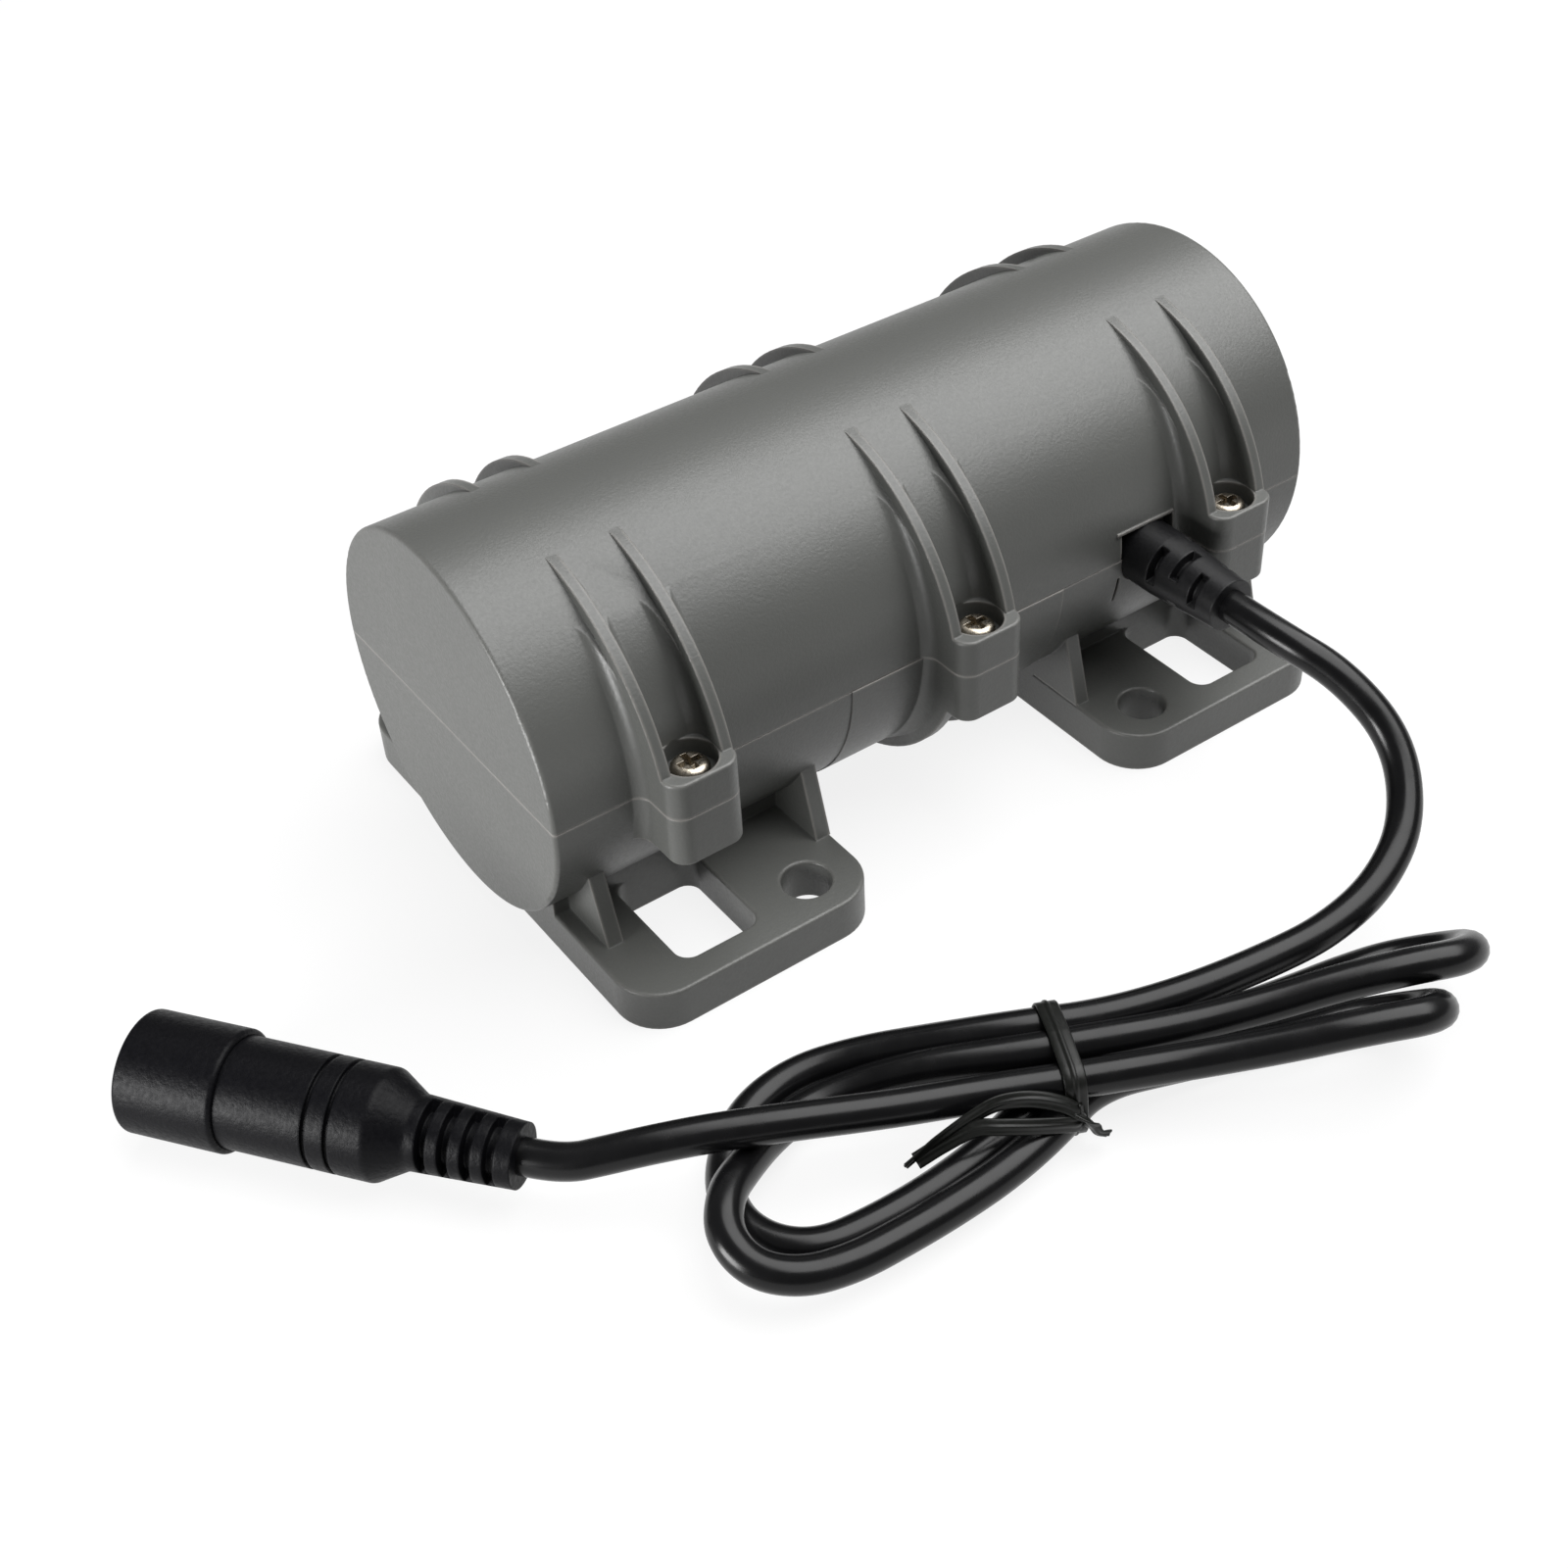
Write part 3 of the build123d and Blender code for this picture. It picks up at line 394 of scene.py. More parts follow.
FINISHES: dict[str, Finish] = {
    # glass-filled nylon, spark-eroded mould: an even fine grain, dull but with a soft sheen
    "housing_plastic": Finish(
        "Glass_filled_nylon_moulded", "#5a5b58", "#50514f", (0.36, 0.46),
        # pale outer edges and parting line: partly wear and mould flash, partly a painted highlight
        specular=0.6, grain_mm=0.34, relief_mm=0.03, mottle_mm=16.0, edge_mm=0.3, edge_wear_and_highlight="#8d8a86",
        flash_height=PARTING_HEIGHT,
    ),
    # nickel-plated steel: bright, faintly warm, a little uneven in the recess
    "screw_nickel": Finish(
        "Nickel_plated_steel", "#b8b0a2", "#90877a", (0.22, 0.38), metallic=1.0,
        grain_mm=0.3, relief_mm=0.01, mottle_mm=1.5, edge_mm=0.1,
    ),
    # soft PVC moulded over the cord: black satin, slightly waxy
    "relief_pvc": Finish(
        "Soft_PVC_overmoulded", "#0b0b0c", "#131315", (0.36, 0.5), specular=0.3,
        grain_mm=0.35, relief_mm=0.012, mottle_mm=4.0, edge_mm=0.3,
    ),
    # extruded PVC jacket: glossy black with long clean highlights
    "cord_pvc": Finish(
        "PVC_jacket_extruded", "#09090a", "#101011", (0.22, 0.29), specular=0.28,
        grain_mm=3.0, relief_mm=0.0, mottle_mm=11.0,
    ),
    # plastic-coated flat wire: thin black PVC strip, half matt
    "tie_pvc": Finish(
        "PVC_coated_wire_strip", "#0d0e0c", "#151614", (0.3, 0.42), specular=0.3,
        grain_mm=0.4, relief_mm=0.008, mottle_mm=5.0, edge_mm=0.08,
    ),
    # ABS with a leather-grained mould: black, dull, tiny even pits
    "connector_plastic": Finish(
        "ABS_moulded_grained", "#070709", "#0c0c0f", (0.36, 0.5), specular=0.1,
        grain_mm=0.5, relief_mm=0.05, mottle_mm=6.0, edge_mm=0.3,
    ),
    # PBT insert: smooth black moulding
    "insulator_plastic": Finish(
        "PBT_moulded", "#101012", "#17171a", (0.35, 0.45), grain_mm=0.3, relief_mm=0.005,
        mottle_mm=3.0,
    ),
    # nickel-plated brass: bright and cool
    "contact_nickel": Finish(
        "Nickel_plated_brass_turned", "#cfcac0", "#b8b1a4", (0.16, 0.28), metallic=1.0,
        grain_mm=0.2, relief_mm=0.004, mottle_mm=2.0,
    ),
    # zinc-plated steel, deep drawn: pale satin metal with faint lines along the can
    "can_steel": Finish(
        "Zinc_plated_steel_drawn", "#c4c5c4", "#a9abac", (0.28, 0.4), metallic=1.0,
        grain=Grain.DRAWN_ALONG_SHAFT, grain_mm=0.25, relief_mm=0.004, mottle_mm=14.0,
    ),
    # nylon: ivory and slightly waxy
    "cap_plastic": Finish(
        "Nylon_moulded", "#d8d2c2", "#cfc8b6", (0.38, 0.5), grain_mm=0.3, relief_mm=0.006,
        mottle_mm=8.0,
    ),
    # silicon steel sheets: dark grey, banded where the sheets meet
    "lamination_steel": Finish(
        "Silicon_steel_laminated", "#6d6e72", "#4c4d51", (0.35, 0.55), metallic=1.0,
        grain=Grain.STACKED_ACROSS_SHAFT, grain_mm=0.5, relief_mm=0.03, mottle_mm=6.0,
    ),
    # enamelled copper: warm, glossy, one line for each turn of wire
    "winding_copper": Finish(
        "Enamelled_copper_wound", "#b8653a", "#8c4422", (0.22, 0.36), metallic=1.0, coat=0.6,
        grain=Grain.DRAWN_ALONG_SHAFT, grain_mm=0.45, relief_mm=0.08, mottle_mm=5.0,
    ),
    # epoxy glass laminate under green solder mask: glossy with a faint weave
    "board_laminate": Finish(
        "Solder_masked_glass_epoxy", "#0f5a2c", "#0b4824", (0.2, 0.32), coat=0.3,
        grain_mm=0.6, relief_mm=0.01, mottle_mm=5.0,
    ),
    # moulded epoxy: dull black
    "chip_epoxy": Finish(
        "Epoxy_moulded", "#18181a", "#222224", (0.5, 0.65), grain_mm=0.15, relief_mm=0.008,
        mottle_mm=2.0,
    ),
    # red PVC insulation
    "red_wire": Finish(
        "Red_PVC_extruded", "#a81512", "#8e0f0e", (0.28, 0.4), grain_mm=0.4, relief_mm=0.004,
        mottle_mm=3.0,
    ),
    # black PVC insulation
    "black_wire": Finish(
        "Black_PVC_extruded", "#131314", "#1c1c1e", (0.28, 0.4), grain_mm=0.4, relief_mm=0.004,
        mottle_mm=3.0,
    ),
    # nitrile rubber: dull and dark
    "grip_rubber": Finish(
        "Nitrile_rubber_moulded", "#1c1c1d", "#262627", (0.62, 0.78), grain_mm=0.5,
        relief_mm=0.02, mottle_mm=5.0,
    ),
    # bearing steel: ground round the shaft to a bright satin
    "bearing_steel": Finish(
        "Bearing_steel_ground", "#d2d3d4", "#bcbec0", (0.12, 0.22), metallic=1.0,
        grain=Grain.GROUND_ROUND_SHAFT, grain_mm=0.15, relief_mm=0.003, mottle_mm=5.0,
    ),
    # pressed brass
    "cage_brass": Finish(
        "Brass_pressed", "#c9a557", "#a98740", (0.25, 0.38), metallic=1.0, grain_mm=0.3,
        relief_mm=0.004, mottle_mm=2.0,
    ),
    # sintered ferrite: charcoal, dull, grainy
    "magnet_ferrite": Finish(
        "Ferrite_sintered", "#3a3a3d", "#2d2d30", (0.45, 0.65), metallic=0.4, grain_mm=0.3,
        relief_mm=0.02, mottle_mm=4.0,
    ),
    # sintered iron, oiled: grey with fine open pores
    "weight_steel": Finish(
        "Iron_sintered_and_oiled", "#86827b", "#6a665f", (0.36, 0.55), metallic=1.0,
        grain_mm=0.35, relief_mm=0.03, mottle_mm=6.0,
    ),
    # black-oxide steel
    "grub_steel": Finish(
        "Black_oxide_steel", "#2a2a2b", "#1f1f20", (0.32, 0.45), metallic=1.0, grain_mm=0.2,
        relief_mm=0.006, mottle_mm=1.5,
    ),
}


class Wardrobe:
    """Builds each finish once and hands it out by material slot."""

    def __init__(self) -> None:
        """Build every finish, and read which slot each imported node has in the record."""
        self.materials = {slot: finish.build() for slot, finish in FINISHES.items()}
        self.slots = {part["node"]: part["material_slot"] for part in frame["record"]["subparts"]}

    def dress_node(self, name: str) -> None:
        """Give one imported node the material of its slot.

        Args:
            name: Name of the node.
        """
        for material_slot in frame["nodes"][name].material_slots:
            material_slot.material = self.materials[self.slots[name]]


@dataclass(frozen=True)
class SubAssembly:
    """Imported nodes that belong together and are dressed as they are.

    Attributes:
        name: Name of the sub-assembly.
        nodes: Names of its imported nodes.
    """

    name: str
    nodes: tuple[str, ...]

    def dress(self, wardrobe: Wardrobe) -> None:
        """Give each node its finish.

        Args:
            wardrobe: The built finishes.
        """
        for node in self.nodes:
            wardrobe.dress_node(node)
        log.info("%s: %d nodes dressed", self.name, len(self.nodes))


SUB_ASSEMBLIES = (
    SubAssembly("housing", ("lower_shell", "upper_shell", "housing_screws")),
    SubAssembly(
        "motor_frame",
        (
            "motor_can", "motor_end_cap", "stator_core", "stator_windings", "motor_terminals",
            "front_bearing_outer_race", "rear_bearing_outer_race", "front_grip_band",
            "rear_grip_band",
        ),
    ),
    SubAssembly(
        "driver",
        ("driver_board", "driver_chips", "hall_sensors", "board_screws", "red_lead", "black_lead"),
    ),
    SubAssembly(
        "rotor",
        (
            "motor_shaft", "rotor_core", "rotor_magnets", "front_bearing_inner_race",
            "rear_bearing_inner_race", "front_eccentric_weight", "rear_eccentric_weight",
            "weight_grub_screws",
        ),
    ),
    SubAssembly(
        "ball_sets",
        ("front_ball_cage", "front_bearing_balls", "rear_ball_cage", "rear_bearing_balls"),
    ),
    SubAssembly(
        "cord_fittings", ("strain_relief", "cord_lead", "cord_hank", "cord_tail", "twist_tie")
    ),
    SubAssembly(
        "connector",
        (
            "connector_body", "connector_collar", "jack_insulator", "jack_barrel_contact",
            "jack_centre_pin",
        ),
    ),
)


# ------------------------------------------------------------------ cord
@dataclass
class SupplyCord:
    """The cord from the strain relief, through the tied hank, to the connector.

    Attributes:
        diameter: Outer diameter of the jacket, metres.
        length: Real length, metres; not used.
        steps: Steps of the curve between two control points.
        round_steps: Steps of the round section, in each quarter.
        lead: Control points from the strain relief to the tie, millimetres.
        first_loop: Control points of the first turn of the lobe, and the run back.
        first_fold: Control points of the far fold.
        second_loop: Control points of the second turn, and the run back.
        second_fold: Control points of the near fold.
        tail: Control points over the hank and out to the connector.
    """

    diameter: float = 2 * CORD_RADIUS
    length: float = 489 * MM
    steps: int = 10
    round_steps: int = 7
    lead: tuple = (
        (27.3, -35.4, 23.3), (27.3, -42.6, 23.3), (30.2, -49.8, 20.9), (31.5, -57.2, 16.0),
        (27.4, -63.3, 11.2), (20.4, -66.4, 8.4), (12.6, -67.0, 6.9), (5.2, -65.9, 6.2),
    )
    first_loop: tuple = (
        (-4.5, -64.0, 5.9), (-13.3, -61.1, 5.7), (-20.6, -57.4, 5.9), (-27.4, -52.8, 4.6),
        (-33.8, -48.0, 2.8), (-40.2, -45.4, 1.9), (-46.8, -46.4, 1.9), (-52.4, -50.5, 1.9),
        (-55.2, -55.6, 1.9), (-54.6, -60.8, 1.9), (-51.0, -64.5, 1.9), (-45.0, -65.4, 1.9),
        (-38.0, -65.6, 1.9), (-31.0, -65.0, 2.0), (-24.3, -63.5, 2.5), (-17.6, -61.3, 2.5),
        (-9.0, -64.0, 2.3), (0.0, -66.4, 1.9), (7.0, -68.0, 1.9), (12.8, -69.1, 1.9),
    )
    first_fold: tuple = (
        (18.2, -70.5, 1.9), (21.5, -74.3, 4.2), (21.2, -78.2, 7.9), (17.1, -80.2, 10.7),
    )
    second_loop: tuple = (
        (11.4, -78.1, 11.2), (5.6, -74.7, 9.8), (-0.8, -71.2, 7.8), (-8.6, -67.2, 6.4),
        (-17.3, -63.2, 6.5), (-24.2, -59.3, 5.9), (-30.8, -54.9, 4.9), (-36.8, -51.2, 2.9),
        (-42.6, -49.7, 1.9), (-47.4, -51.0, 2.4), (-51.8, -53.8, 4.4), (-56.0, -56.6, 6.0),
        (-58.7, -60.4, 5.8), (-58.3, -64.6, 4.9), (-55.0, -67.7, 4.4), (-50.2, -69.0, 4.1),
        (-45.0, -69.2, 3.8), (-39.0, -69.2, 3.5), (-32.0, -68.8, 3.2), (-25.0, -67.5, 2.9),
        (-17.6, -65.3, 2.7), (-9.0, -68.2, 2.2), (-2.0, -70.7, 1.9), (4.2, -72.8, 1.9),
    )
    second_fold: tuple = (
        (9.7, -74.4, 1.9), (13.0, -78.2, 4.1), (12.6, -81.9, 7.9), (8.6, -83.7, 10.8),
    )
    tail: tuple = (
        (2.4, -80.9, 10.9), (-3.2, -76.9, 8.9), (-8.8, -72.8, 7.2), (-14.0, -69.6, 6.4),
        (-21.6, -65.8, 6.2), (-29.6, -61.9, 6.4), (-38.0, -58.4, 6.9), (-47.0, -54.5, 7.9),
        (-53.6, -51.2, 8.0), (-59.0, -48.6, 7.7), (-62.4, -46.8, 7.1), (-66.4, -44.5, 6.3),
        (-68.8, -41.3, 6.3),
    )
    curve: bpy.types.Object = field(init=False, default=None)

    def points(self) -> list[Vector]:
        """Put the control points of all the runs in order.

        Returns:
            The points, in metres.
        """
        runs = (
            self.lead, self.first_loop, self.first_fold, self.second_loop, self.second_fold,
            self.tail,
        )
        return [Vector(point) * MM for run in runs for point in run]

    def build(self) -> bpy.types.Object:
        """Make the cord as one open spline with a round bevel.

        Returns:
            The cord's curve object.
        """
        data = bpy.data.curves.new("supply_cord", "CURVE")
        data.dimensions = "3D"
        data.resolution_u = self.steps
        data.bevel_depth = self.diameter / 2
        data.bevel_resolution = self.round_steps
        data.use_fill_caps = True
        spline = data.splines.new("NURBS")
        points = self.points()
        spline.points.add(len(points) - 1)
        for target, point in zip(spline.points, points):
            target.co = (*point, 1.0)
        spline.order_u = 3
        spline.use_endpoint_u = True
        self.curve = bpy.data.objects.new("supply_cord", data)
        bpy.context.scene.collection.objects.link(self.curve)
        return self.curve

    def centreline(self) -> list[Vector]:
        """Read the cord's own smooth line from its spline.

        Returns:
            Points along the line, in order.
        """
        bare = self.curve.data.copy()
        bare.bevel_depth = 0.0
        probe = bpy.data.objects.new("cord_probe", bare)
        bpy.context.scene.collection.objects.link(probe)
        bpy.context.view_layer.update()
        depsgraph = bpy.context.evaluated_depsgraph_get()
        mesh = bpy.data.meshes.new_from_object(probe.evaluated_get(depsgraph))
        line = [vertex.co.copy() for vertex in mesh.vertices]
        bpy.data.objects.remove(probe)
        bpy.data.curves.remove(bare)
        bpy.data.meshes.remove(mesh)
        return line

    def dress(self, wardrobe: Wardrobe) -> None:
        """Give the cord its jacket, ride it on the housing and hide the imported cord nodes.

        Args:
            wardrobe: The built finishes.
        """
        self.curve.data.materials.append(wardrobe.materials["cord_pvc"])
        mount(self.curve, HOUSING_BODY, "cord_pvc", "cord_lead", "cord_hank", "cord_tail")
        log.info("supply_cord: %d control points", len(self.points()))


# ------------------------------------------------------------------ tie
def sweep(maker: bmesh.types.BMesh, profile: list[Vector], frames: list[Matrix]) -> None:
    """Sweep a closed profile through a row of placed frames, and cap both ends.

    Args:
        maker: The bmesh that the sweep is added to.
        profile: Points of the profile, in the frames' own x and y.
        frames: Places of the profile from start to end.
    """
    ring = [maker.verts.new(frames[0] @ point) for point in profile]
    edges = [maker.edges.new((a, b)) for a, b in zip(ring, ring[1:] + ring[:1])]
    bmesh.ops.contextual_create(maker, geom=edges)
    for before, after in zip(frames, frames[1:]):
        out = bmesh.ops.extrude_edge_only(maker, edges=edges)["geom"]
        moved = [item for item in out if isinstance(item, bmesh.types.BMVert)]
        edges = [
            item
            for item in out
            if isinstance(item, bmesh.types.BMEdge) and all(v in moved for v in item.verts)
        ]
        bmesh.ops.transform(maker, matrix=after @ before.inverted(), verts=moved)
    bmesh.ops.contextual_create(maker, geom=edges)


def frame_at(place: Vector, along: Vector, width: Vector) -> Matrix:
    """Frame whose x is a strip's width, y its thickness and z its run.

    Args:
        place: Middle of the strip.
        along: Direction that the strip runs in.
        width: Rough direction of its width.

    Returns:
        The frame as a matrix.
    """
    z_axis = along.normalized()
    x_axis = (width - width.dot(z_axis) * z_axis).normalized()
    y_axis = z_axis.cross(x_axis)
    turned = Matrix((x_axis, y_axis, z_axis)).transposed().to_4x4()
    return Matrix.Translation(place) @ turned


def smooth_line(points: list[Vector], steps: int) -> list[Vector]:
    """Points along a smooth line through a few given ones.

    Args:
        points: The points that it passes through.
        steps: Number of steps between two of them.

    Returns:
        The line, with the given points among it.
    """
    ends = [2 * points[0] - points[1], *points, 2 * points[-1] - points[-2]]
    line = []
    for a, b, c, d in zip(ends, ends[1:], ends[2:], ends[3:]):
        for step in range(steps):
            t = step / steps
            line.append(
                0.5
                * (
                    2 * b
                    + (c - a) * t
                    + (2 * a - 5 * b + 4 * c - d) * t**2
                    + (3 * b - a - 3 * c + d) * t**3
                )
            )
    line.append(points[-1].copy())
    return line


@dataclass
class WireTie:
    """Flat plastic-coated wire wound round the waist of the hank and twisted shut.

    Attributes:
        centre: Point of the hank's waist that the loop passes round.
        normal: Direction of the strands there.
        width: Width of the strip.
        end_width: Width of its free ends, which the twist has curled.
        thickness: Thickness of its flat edges.
        core: Diameter of the wire along its middle.
        core_foot: Share of that diameter, each side of the middle, that the wings begin at.
        search: Greatest distance of a strand from the centre.
        loop_steps: Steps round the loop.
        end_steps: Steps between two points of a free end.
        ends: Each free end's points in millimetres, and the turns of its two ends in degrees.
    """

    centre: Vector = field(default_factory=lambda: Vector((-20.3, -63.1, 4.2)) * MM)
    normal: Vector = field(default_factory=lambda: Vector((-0.905, 0.427, 0.0)))
    width: float = 2.3 * MM
    end_width: float = 1.7 * MM
    thickness: float = 0.26 * MM
    core: float = 0.6 * MM
    core_foot: float = 0.7
    search: float = 12 * MM
    loop_steps: int = 72
    end_steps: int = 8
    ends: tuple = (
        (
            ((-22.2, -68.8, 3.6), (-22.9, -68.9, 5.2), (-24.6, -67.9, 6.9), (-27.3, -66.5, 8.2),
             (-30.1, -65.2, 8.4), (-32.6, -64.4, 7.5), (-35.3, -63.6, 6.0), (-37.2, -63.0, 4.7),
             (-39.3, -62.6, 3.4)),
            80, -30,
        ),
        (
            ((-22.4, -68.2, 5.6), (-23.2, -69.2, 4.4), (-25.3, -69.0, 5.3), (-28.3, -68.0, 6.3),
             (-30.9, -66.6, 6.8), (-32.9, -65.0, 6.5), (-35.6, -63.7, 5.0), (-38.3, -62.9, 3.7)),
            10, 60,
        ),
        (
            ((-23.4, -68.6, 5.4), (-22.6, -69.7, 4.6), (-21.9, -69.9, 3.4), (-21.4, -70.2, 2.5),
             (-20.6, -70.6, 2.2)),
            60, 20,
        ),
    )
    piece: bpy.types.Object = field(init=False, default=None)

    def profile(self, width: float) -> list[Vector]:
        """Section of the strip: two thin wings and a round wire core.

        Args:
            width: Width of the strip, metres.

        Returns:
            Points round the section.
        """
        half = width / 2
        wing = self.thickness / 2
        radius = self.core / 2
        foot = self.core * self.core_foot
        upper = [Vector((half, 0, 0)), Vector((half - wing, wing, 0)), Vector((foot, wing, 0))]
        for degrees in range(30, 151, 30):
            angle = math.radians(degrees)
            upper.append(Vector((radius * math.cos(angle), radius * math.sin(angle), 0)))
        upper += [Vector((-foot, wing, 0)), Vector((wing - half, wing, 0))]
        lower = [Vector((-p.x, -p.y, 0)) for p in upper]
        return upper + lower

    def strand_crossings(self, line: list[Vector]) -> list[Vector]:
        """Points where the cord passes through the plane of the loop.

        Args:
            line: The cord's centreline.

        Returns:
            The crossing points.
        """
        normal = self.normal.normalized()
        crossings = []
        for start, end in zip(line, line[1:]):
            before = (start - self.centre).dot(normal)
            after = (end - self.centre).dot(normal)
            if before * after < 0:
                point = start.lerp(end, before / (before - after))
                if (point - self.centre).length < self.search:
                    crossings.append(point)
        return crossings

    def loop_points(self, line: list[Vector], reach: float) -> list[Vector]:
        """Tight loop round the strands: the outline of the circles round them.

        Args:
            line: The cord's centreline.
            reach: Distance from a strand's middle to the middle of the strip.

        Returns:
            Points of the closed loop, starting at its near lower side.
        """
        crossings = self.strand_crossings(line)
        across = self.normal.cross(Vector((0, 0, 1))).normalized()
        middle = sum(crossings, Vector()) / len(crossings)
        outline = []
        for step in range(self.loop_steps):
            angle = math.tau * step / self.loop_steps
            ray = math.cos(angle) * across + math.sin(angle) * Vector((0, 0, 1))
            farthest = max(crossings, key=lambda p: (p - middle).dot(ray))
            outline.append(farthest + ray * reach)
        return outline

    def build(self, line: list[Vector]) -> bpy.types.Object:
        """Make the loop and its twisted ends as one piece.

        Args:
            line: The cord's centreline.

        Returns:
            The tie.
        """
        maker = bmesh.new()
        loop = self.loop_points(line, CORD_RADIUS + self.core / 2)
        loop.append(loop[0].copy())
        frames = []
        for index, point in enumerate(loop):
            along = loop[(index + 1) % (len(loop) - 1)] - loop[index - 1 if index else -2]
            frames.append(frame_at(point, along, self.normal))
        sweep(maker, self.profile(self.width), frames)
        for points, turn_start, turn_end in self.ends:
            self.add_end(maker, points, turn_start, turn_end)
        self.piece = new_piece("wire_tie", maker)
        return self.piece

    def add_end(
        self, maker: bmesh.types.BMesh, points: tuple, turn_start: float, turn_end: float
    ) -> None:
        """Add one free end of the strip, which leaves the knot and turns about itself.

        Args:
            maker: The tie's bmesh.
            points: Points that it passes through, millimetres.
            turn_start: Turn of its width about its run at the knot, degrees from upright.
            turn_end: The same at its tip.
        """
        line = smooth_line([Vector(point) * MM for point in points], self.end_steps)
        frames = []
        for index, place in enumerate(line):
            along = line[min(index + 1, len(line) - 1)] - line[max(index - 1, 0)]
            share = index / (len(line) - 1)
            turn = math.radians(turn_start + (turn_end - turn_start) * share)
            width = Matrix.Rotation(turn, 3, along.normalized()) @ Vector((0, 0, 1))
            frames.append(frame_at(place, along, width))
        sweep(maker, self.profile(self.end_width), frames)

    def dress(self, wardrobe: Wardrobe) -> None:
        """Give the tie its finish and its body.

        Args:
            wardrobe: The built finishes.
        """
        self.piece.data.materials.append(wardrobe.materials["tie_pvc"])
        mount(self.piece, HOUSING_BODY, "tie_pvc", "twist_tie")
        log.info("wire_tie: %d faces", len(self.piece.data.polygons))


# ------------------------------------------------------------------ studio
@dataclass(frozen=True)
class Lamp:
    """One soft square lamp.

    Attributes:
        name: Name of the lamp.
        offset: Its place from the point that it faces, metres.
        size: Side of the square, metres.
        power: Power in watts.
    """

    name: str
    offset: tuple[float, float, float]
    size: float
    power: float

    def build(self, target: Vector) -> None:
        """Add the lamp and turn it to its target.

        Args:
            target: Point that it faces.
        """
        data = bpy.data.lights.new(self.name, "AREA")
        data.size = self.size
        data.energy = self.power
        lamp = bpy.data.objects.new(self.name, data)
        bpy.context.scene.collection.objects.link(lamp)
        place = target + Vector(self.offset)
        turn = (target - place).to_track_quat("-Z", "Y").to_matrix().to_4x4()
        lamp.matrix_world = Matrix.Translation(place) @ turn


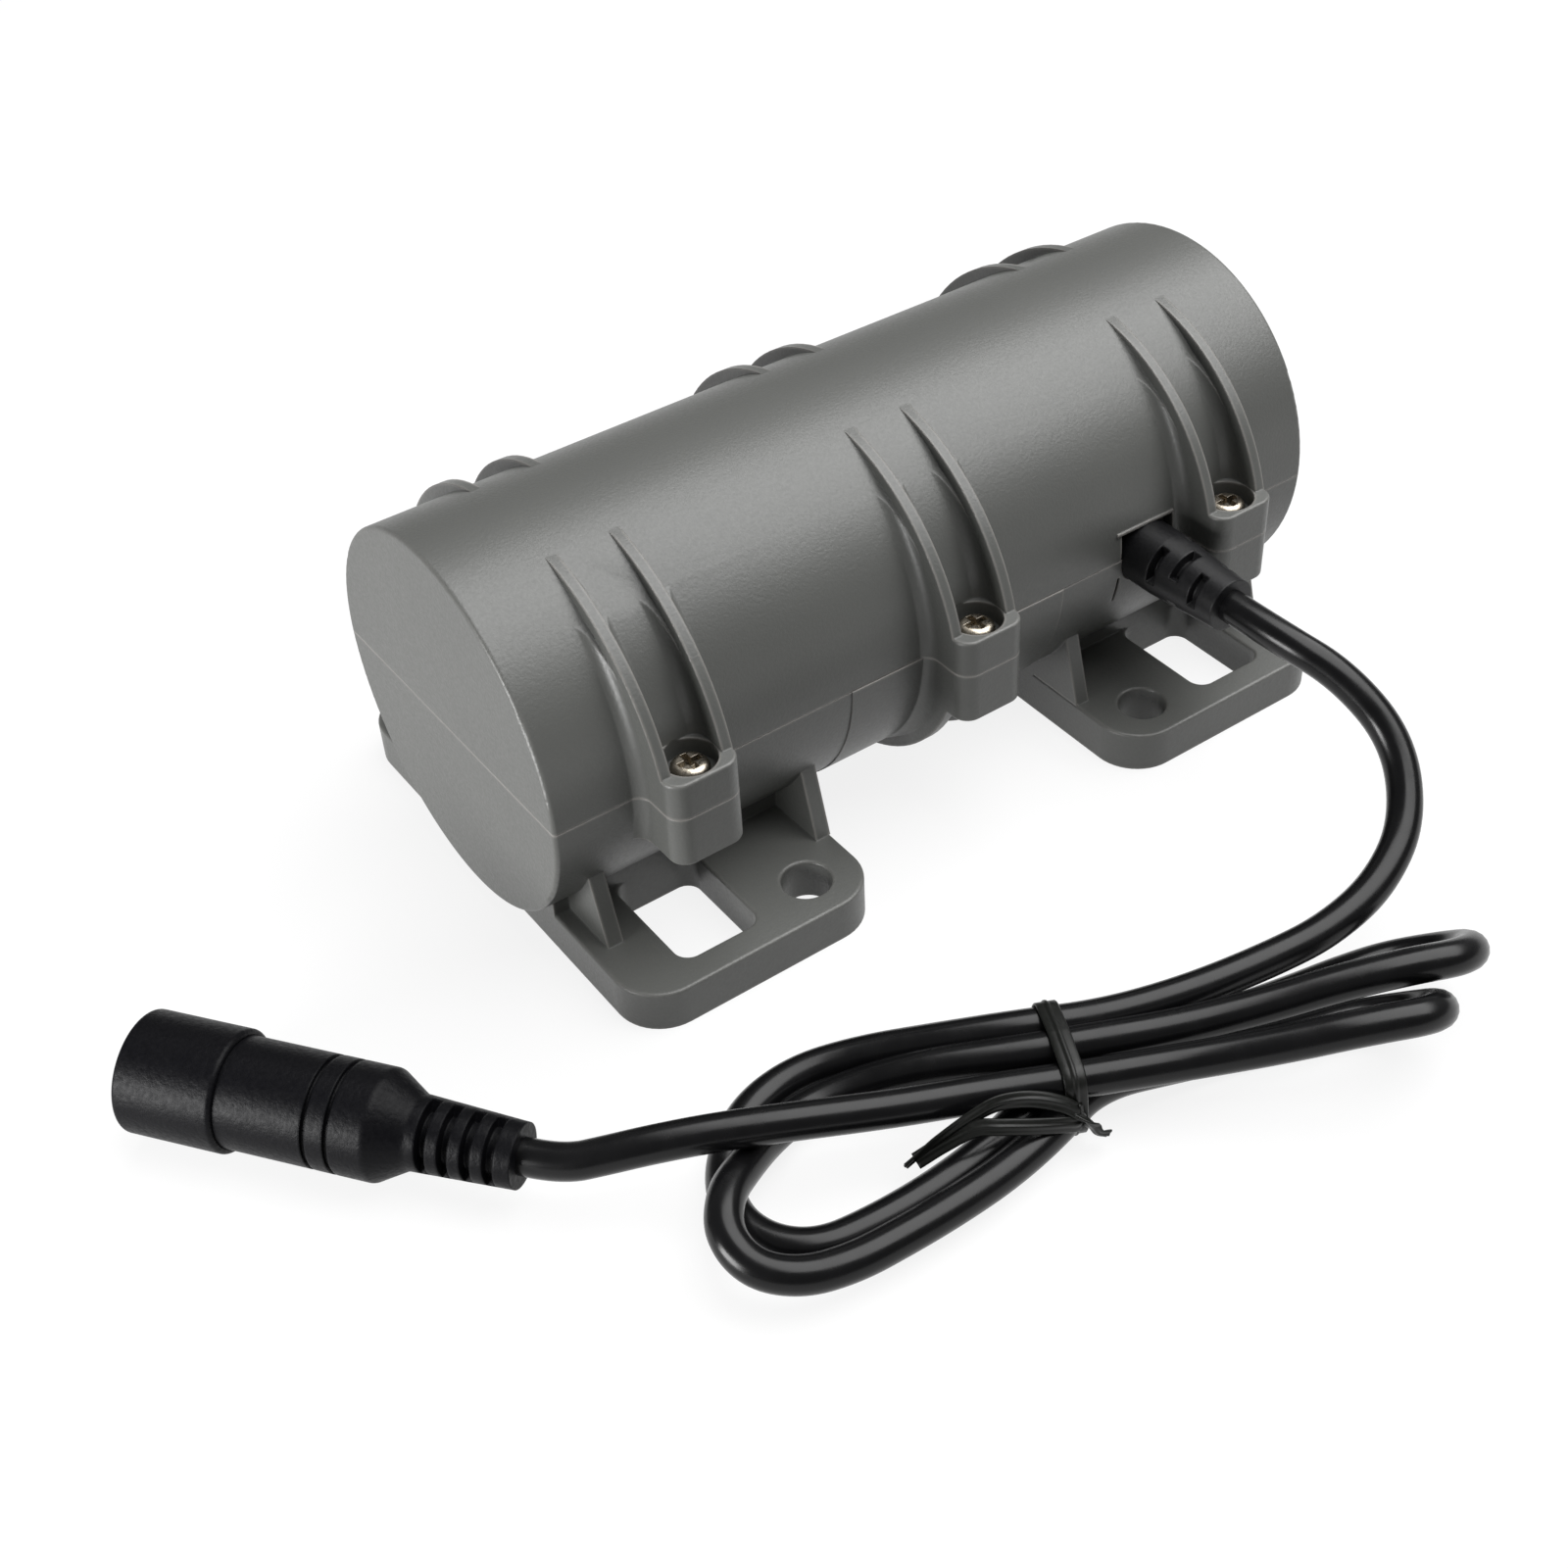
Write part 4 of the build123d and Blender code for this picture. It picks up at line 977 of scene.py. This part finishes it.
@dataclass
class Studio:
    """Pale floor, soft lamps and the camera.

    Attributes:
        camera_place: Position of the camera, metres.
        camera_look: Direction that it looks in.
        camera_roll: Its roll, degrees.
        lens: Focal length for a wide sensor, millimetres.
        sensor: Width of the sensor, millimetres.
        floor_half: Half the side of the floor.
        glow_reach: Distances from the middle between which the floor turns wholly white.
        glow_share: Share of plain white in the seen floor, near and far.
        floor_tone: Tone of the floor to scattered light, and to the eye.
        world_strength: Strength of the world to the object, and to the eye.
        aim: Point that the lamps face.
        lamps: The lamps.
    """

    camera_place: Vector = field(default_factory=lambda: Vector((-0.1198, -0.1687, 0.1675)))
    camera_look: Vector = field(default_factory=lambda: Vector((0.4135, 0.6331, -0.6544)))
    camera_roll: float = -3.49
    lens: float = 49.98
    sensor: float = 36.0
    floor_half: float = 3.0
    glow_reach: tuple[float, float] = (0.25, 0.7)
    glow_share: tuple[float, float] = (0.85, 1.0)
    floor_tone: tuple[float, float] = (0.12, 0.92)
    world_strength: tuple[float, float] = (0.16, 1.0)
    aim: Vector = field(default_factory=lambda: Vector((0.0, -0.02, 0.02)))
    lamps: tuple[Lamp, ...] = (
        Lamp("overhead_softbox", (0.3, -0.08, 0.68), 0.85, 11.2),
        Lamp("end_lamp", (-0.24, -0.01, 0.01), 0.1, 0.6),
    )

    def add_camera(self) -> None:
        """Add the camera and make it the scene's own."""
        data = bpy.data.cameras.new("camera")
        data.lens = self.lens
        data.sensor_width = self.sensor
        data.clip_start = 0.01
        data.clip_end = 20.0
        camera = bpy.data.objects.new("camera", data)
        bpy.context.scene.collection.objects.link(camera)
        turn = self.camera_look.to_track_quat("-Z", "Y").to_matrix().to_4x4()
        roll = Matrix.Rotation(math.radians(self.camera_roll), 4, "Z")
        camera.matrix_world = Matrix.Translation(self.camera_place) @ turn @ roll
        bpy.context.scene.camera = camera

    def add_floor(self) -> None:
        """Add the floor, white to the eye and pale to the light, with a soft shadow."""
        maker = bmesh.new()
        bmesh.ops.create_grid(maker, x_segments=1, y_segments=1, size=self.floor_half)
        floor = new_piece("studio_floor", maker, smooth=False)
        material = bpy.data.materials.new("Paper_backdrop_matt")
        material.use_nodes = True
        tree = material.node_tree
        tree.nodes.clear()
        rays = add_node(tree, "ShaderNodeLightPath")
        seen = add_node(
            tree,
            "ShaderNodeMath",
            links={0: rays.outputs["Is Camera Ray"], 1: rays.outputs["Is Glossy Ray"]},
            operation="ADD",
        )
        seen = add_node(
            tree,
            "ShaderNodeMath",
            links={0: seen.outputs[0], 1: rays.outputs["Is Transmission Ray"]},
            operation="ADD",
            use_clamp=True,
        )
        place = add_node(tree, "ShaderNodeTexCoord").outputs["Object"]
        distance = add_node(tree, "ShaderNodeVectorMath", links={0: place}, operation="LENGTH")
        glow_share = add_node(
            tree,
            "ShaderNodeMapRange",
            {
                "From Min": self.glow_reach[0],
                "From Max": self.glow_reach[1],
                "To Min": self.glow_share[0],
                "To Max": self.glow_share[1],
            },
            {"Value": distance.outputs["Value"]},
        )
        share = add_node(
            tree,
            "ShaderNodeMath",
            links={0: seen.outputs[0], 1: glow_share.outputs["Result"]},
            operation="MULTIPLY",
        )
        tone = add_node(
            tree,
            "ShaderNodeMapRange",
            {"To Min": self.floor_tone[0], "To Max": self.floor_tone[1]},
            {"Value": seen.outputs[0]},
        )
        paper = add_node(tree, "ShaderNodeBsdfDiffuse", links={"Color": tone.outputs["Result"]})
        glow = add_node(tree, "ShaderNodeEmission", {"Color": linear("#ffffff"), "Strength": 1.0})
        mixed = add_node(
            tree,
            "ShaderNodeMixShader",
            links={0: share.outputs[0], 1: paper.outputs[0], 2: glow.outputs[0]},
        )
        add_node(tree, "ShaderNodeOutputMaterial", links={"Surface": mixed.outputs[0]})
        floor.data.materials.append(material)

    def add_world(self) -> None:
        """Even pale light from all round, seen as white by the camera and by gloss."""
        world = bpy.data.worlds.new("studio_world")
        bpy.context.scene.world = world
        world.use_nodes = True
        tree = world.node_tree
        background = tree.nodes["Background"]
        background.inputs["Color"].default_value = linear("#ffffff")
        rays = add_node(tree, "ShaderNodeLightPath")
        strength = add_node(
            tree,
            "ShaderNodeMapRange",
            {"To Min": self.world_strength[0], "To Max": self.world_strength[1]},
            {"Value": rays.outputs["Is Camera Ray"]},
        )
        tree.links.new(strength.outputs["Result"], background.inputs["Strength"])

    def build(self) -> None:
        """Set up the whole studio."""
        self.add_camera()
        self.add_floor()
        self.add_world()
        for lamp in self.lamps:
            lamp.build(self.aim)
        bpy.context.scene.view_settings.view_transform = "Standard"
        log.info("studio ready")


def main() -> None:
    """Build and dress every sub-assembly in order."""
    logging.basicConfig(level=logging.INFO, format="%(name)s: %(message)s")
    studio = Studio()
    studio.build()
    cord = SupplyCord()
    cord.build()
    tie = WireTie()
    tie.build(cord.centreline())
    wardrobe = Wardrobe()
    for sub_assembly in SUB_ASSEMBLIES:
        sub_assembly.dress(wardrobe)
    cord.dress(wardrobe)
    tie.dress(wardrobe)


if __name__ == "__main__":
    main()
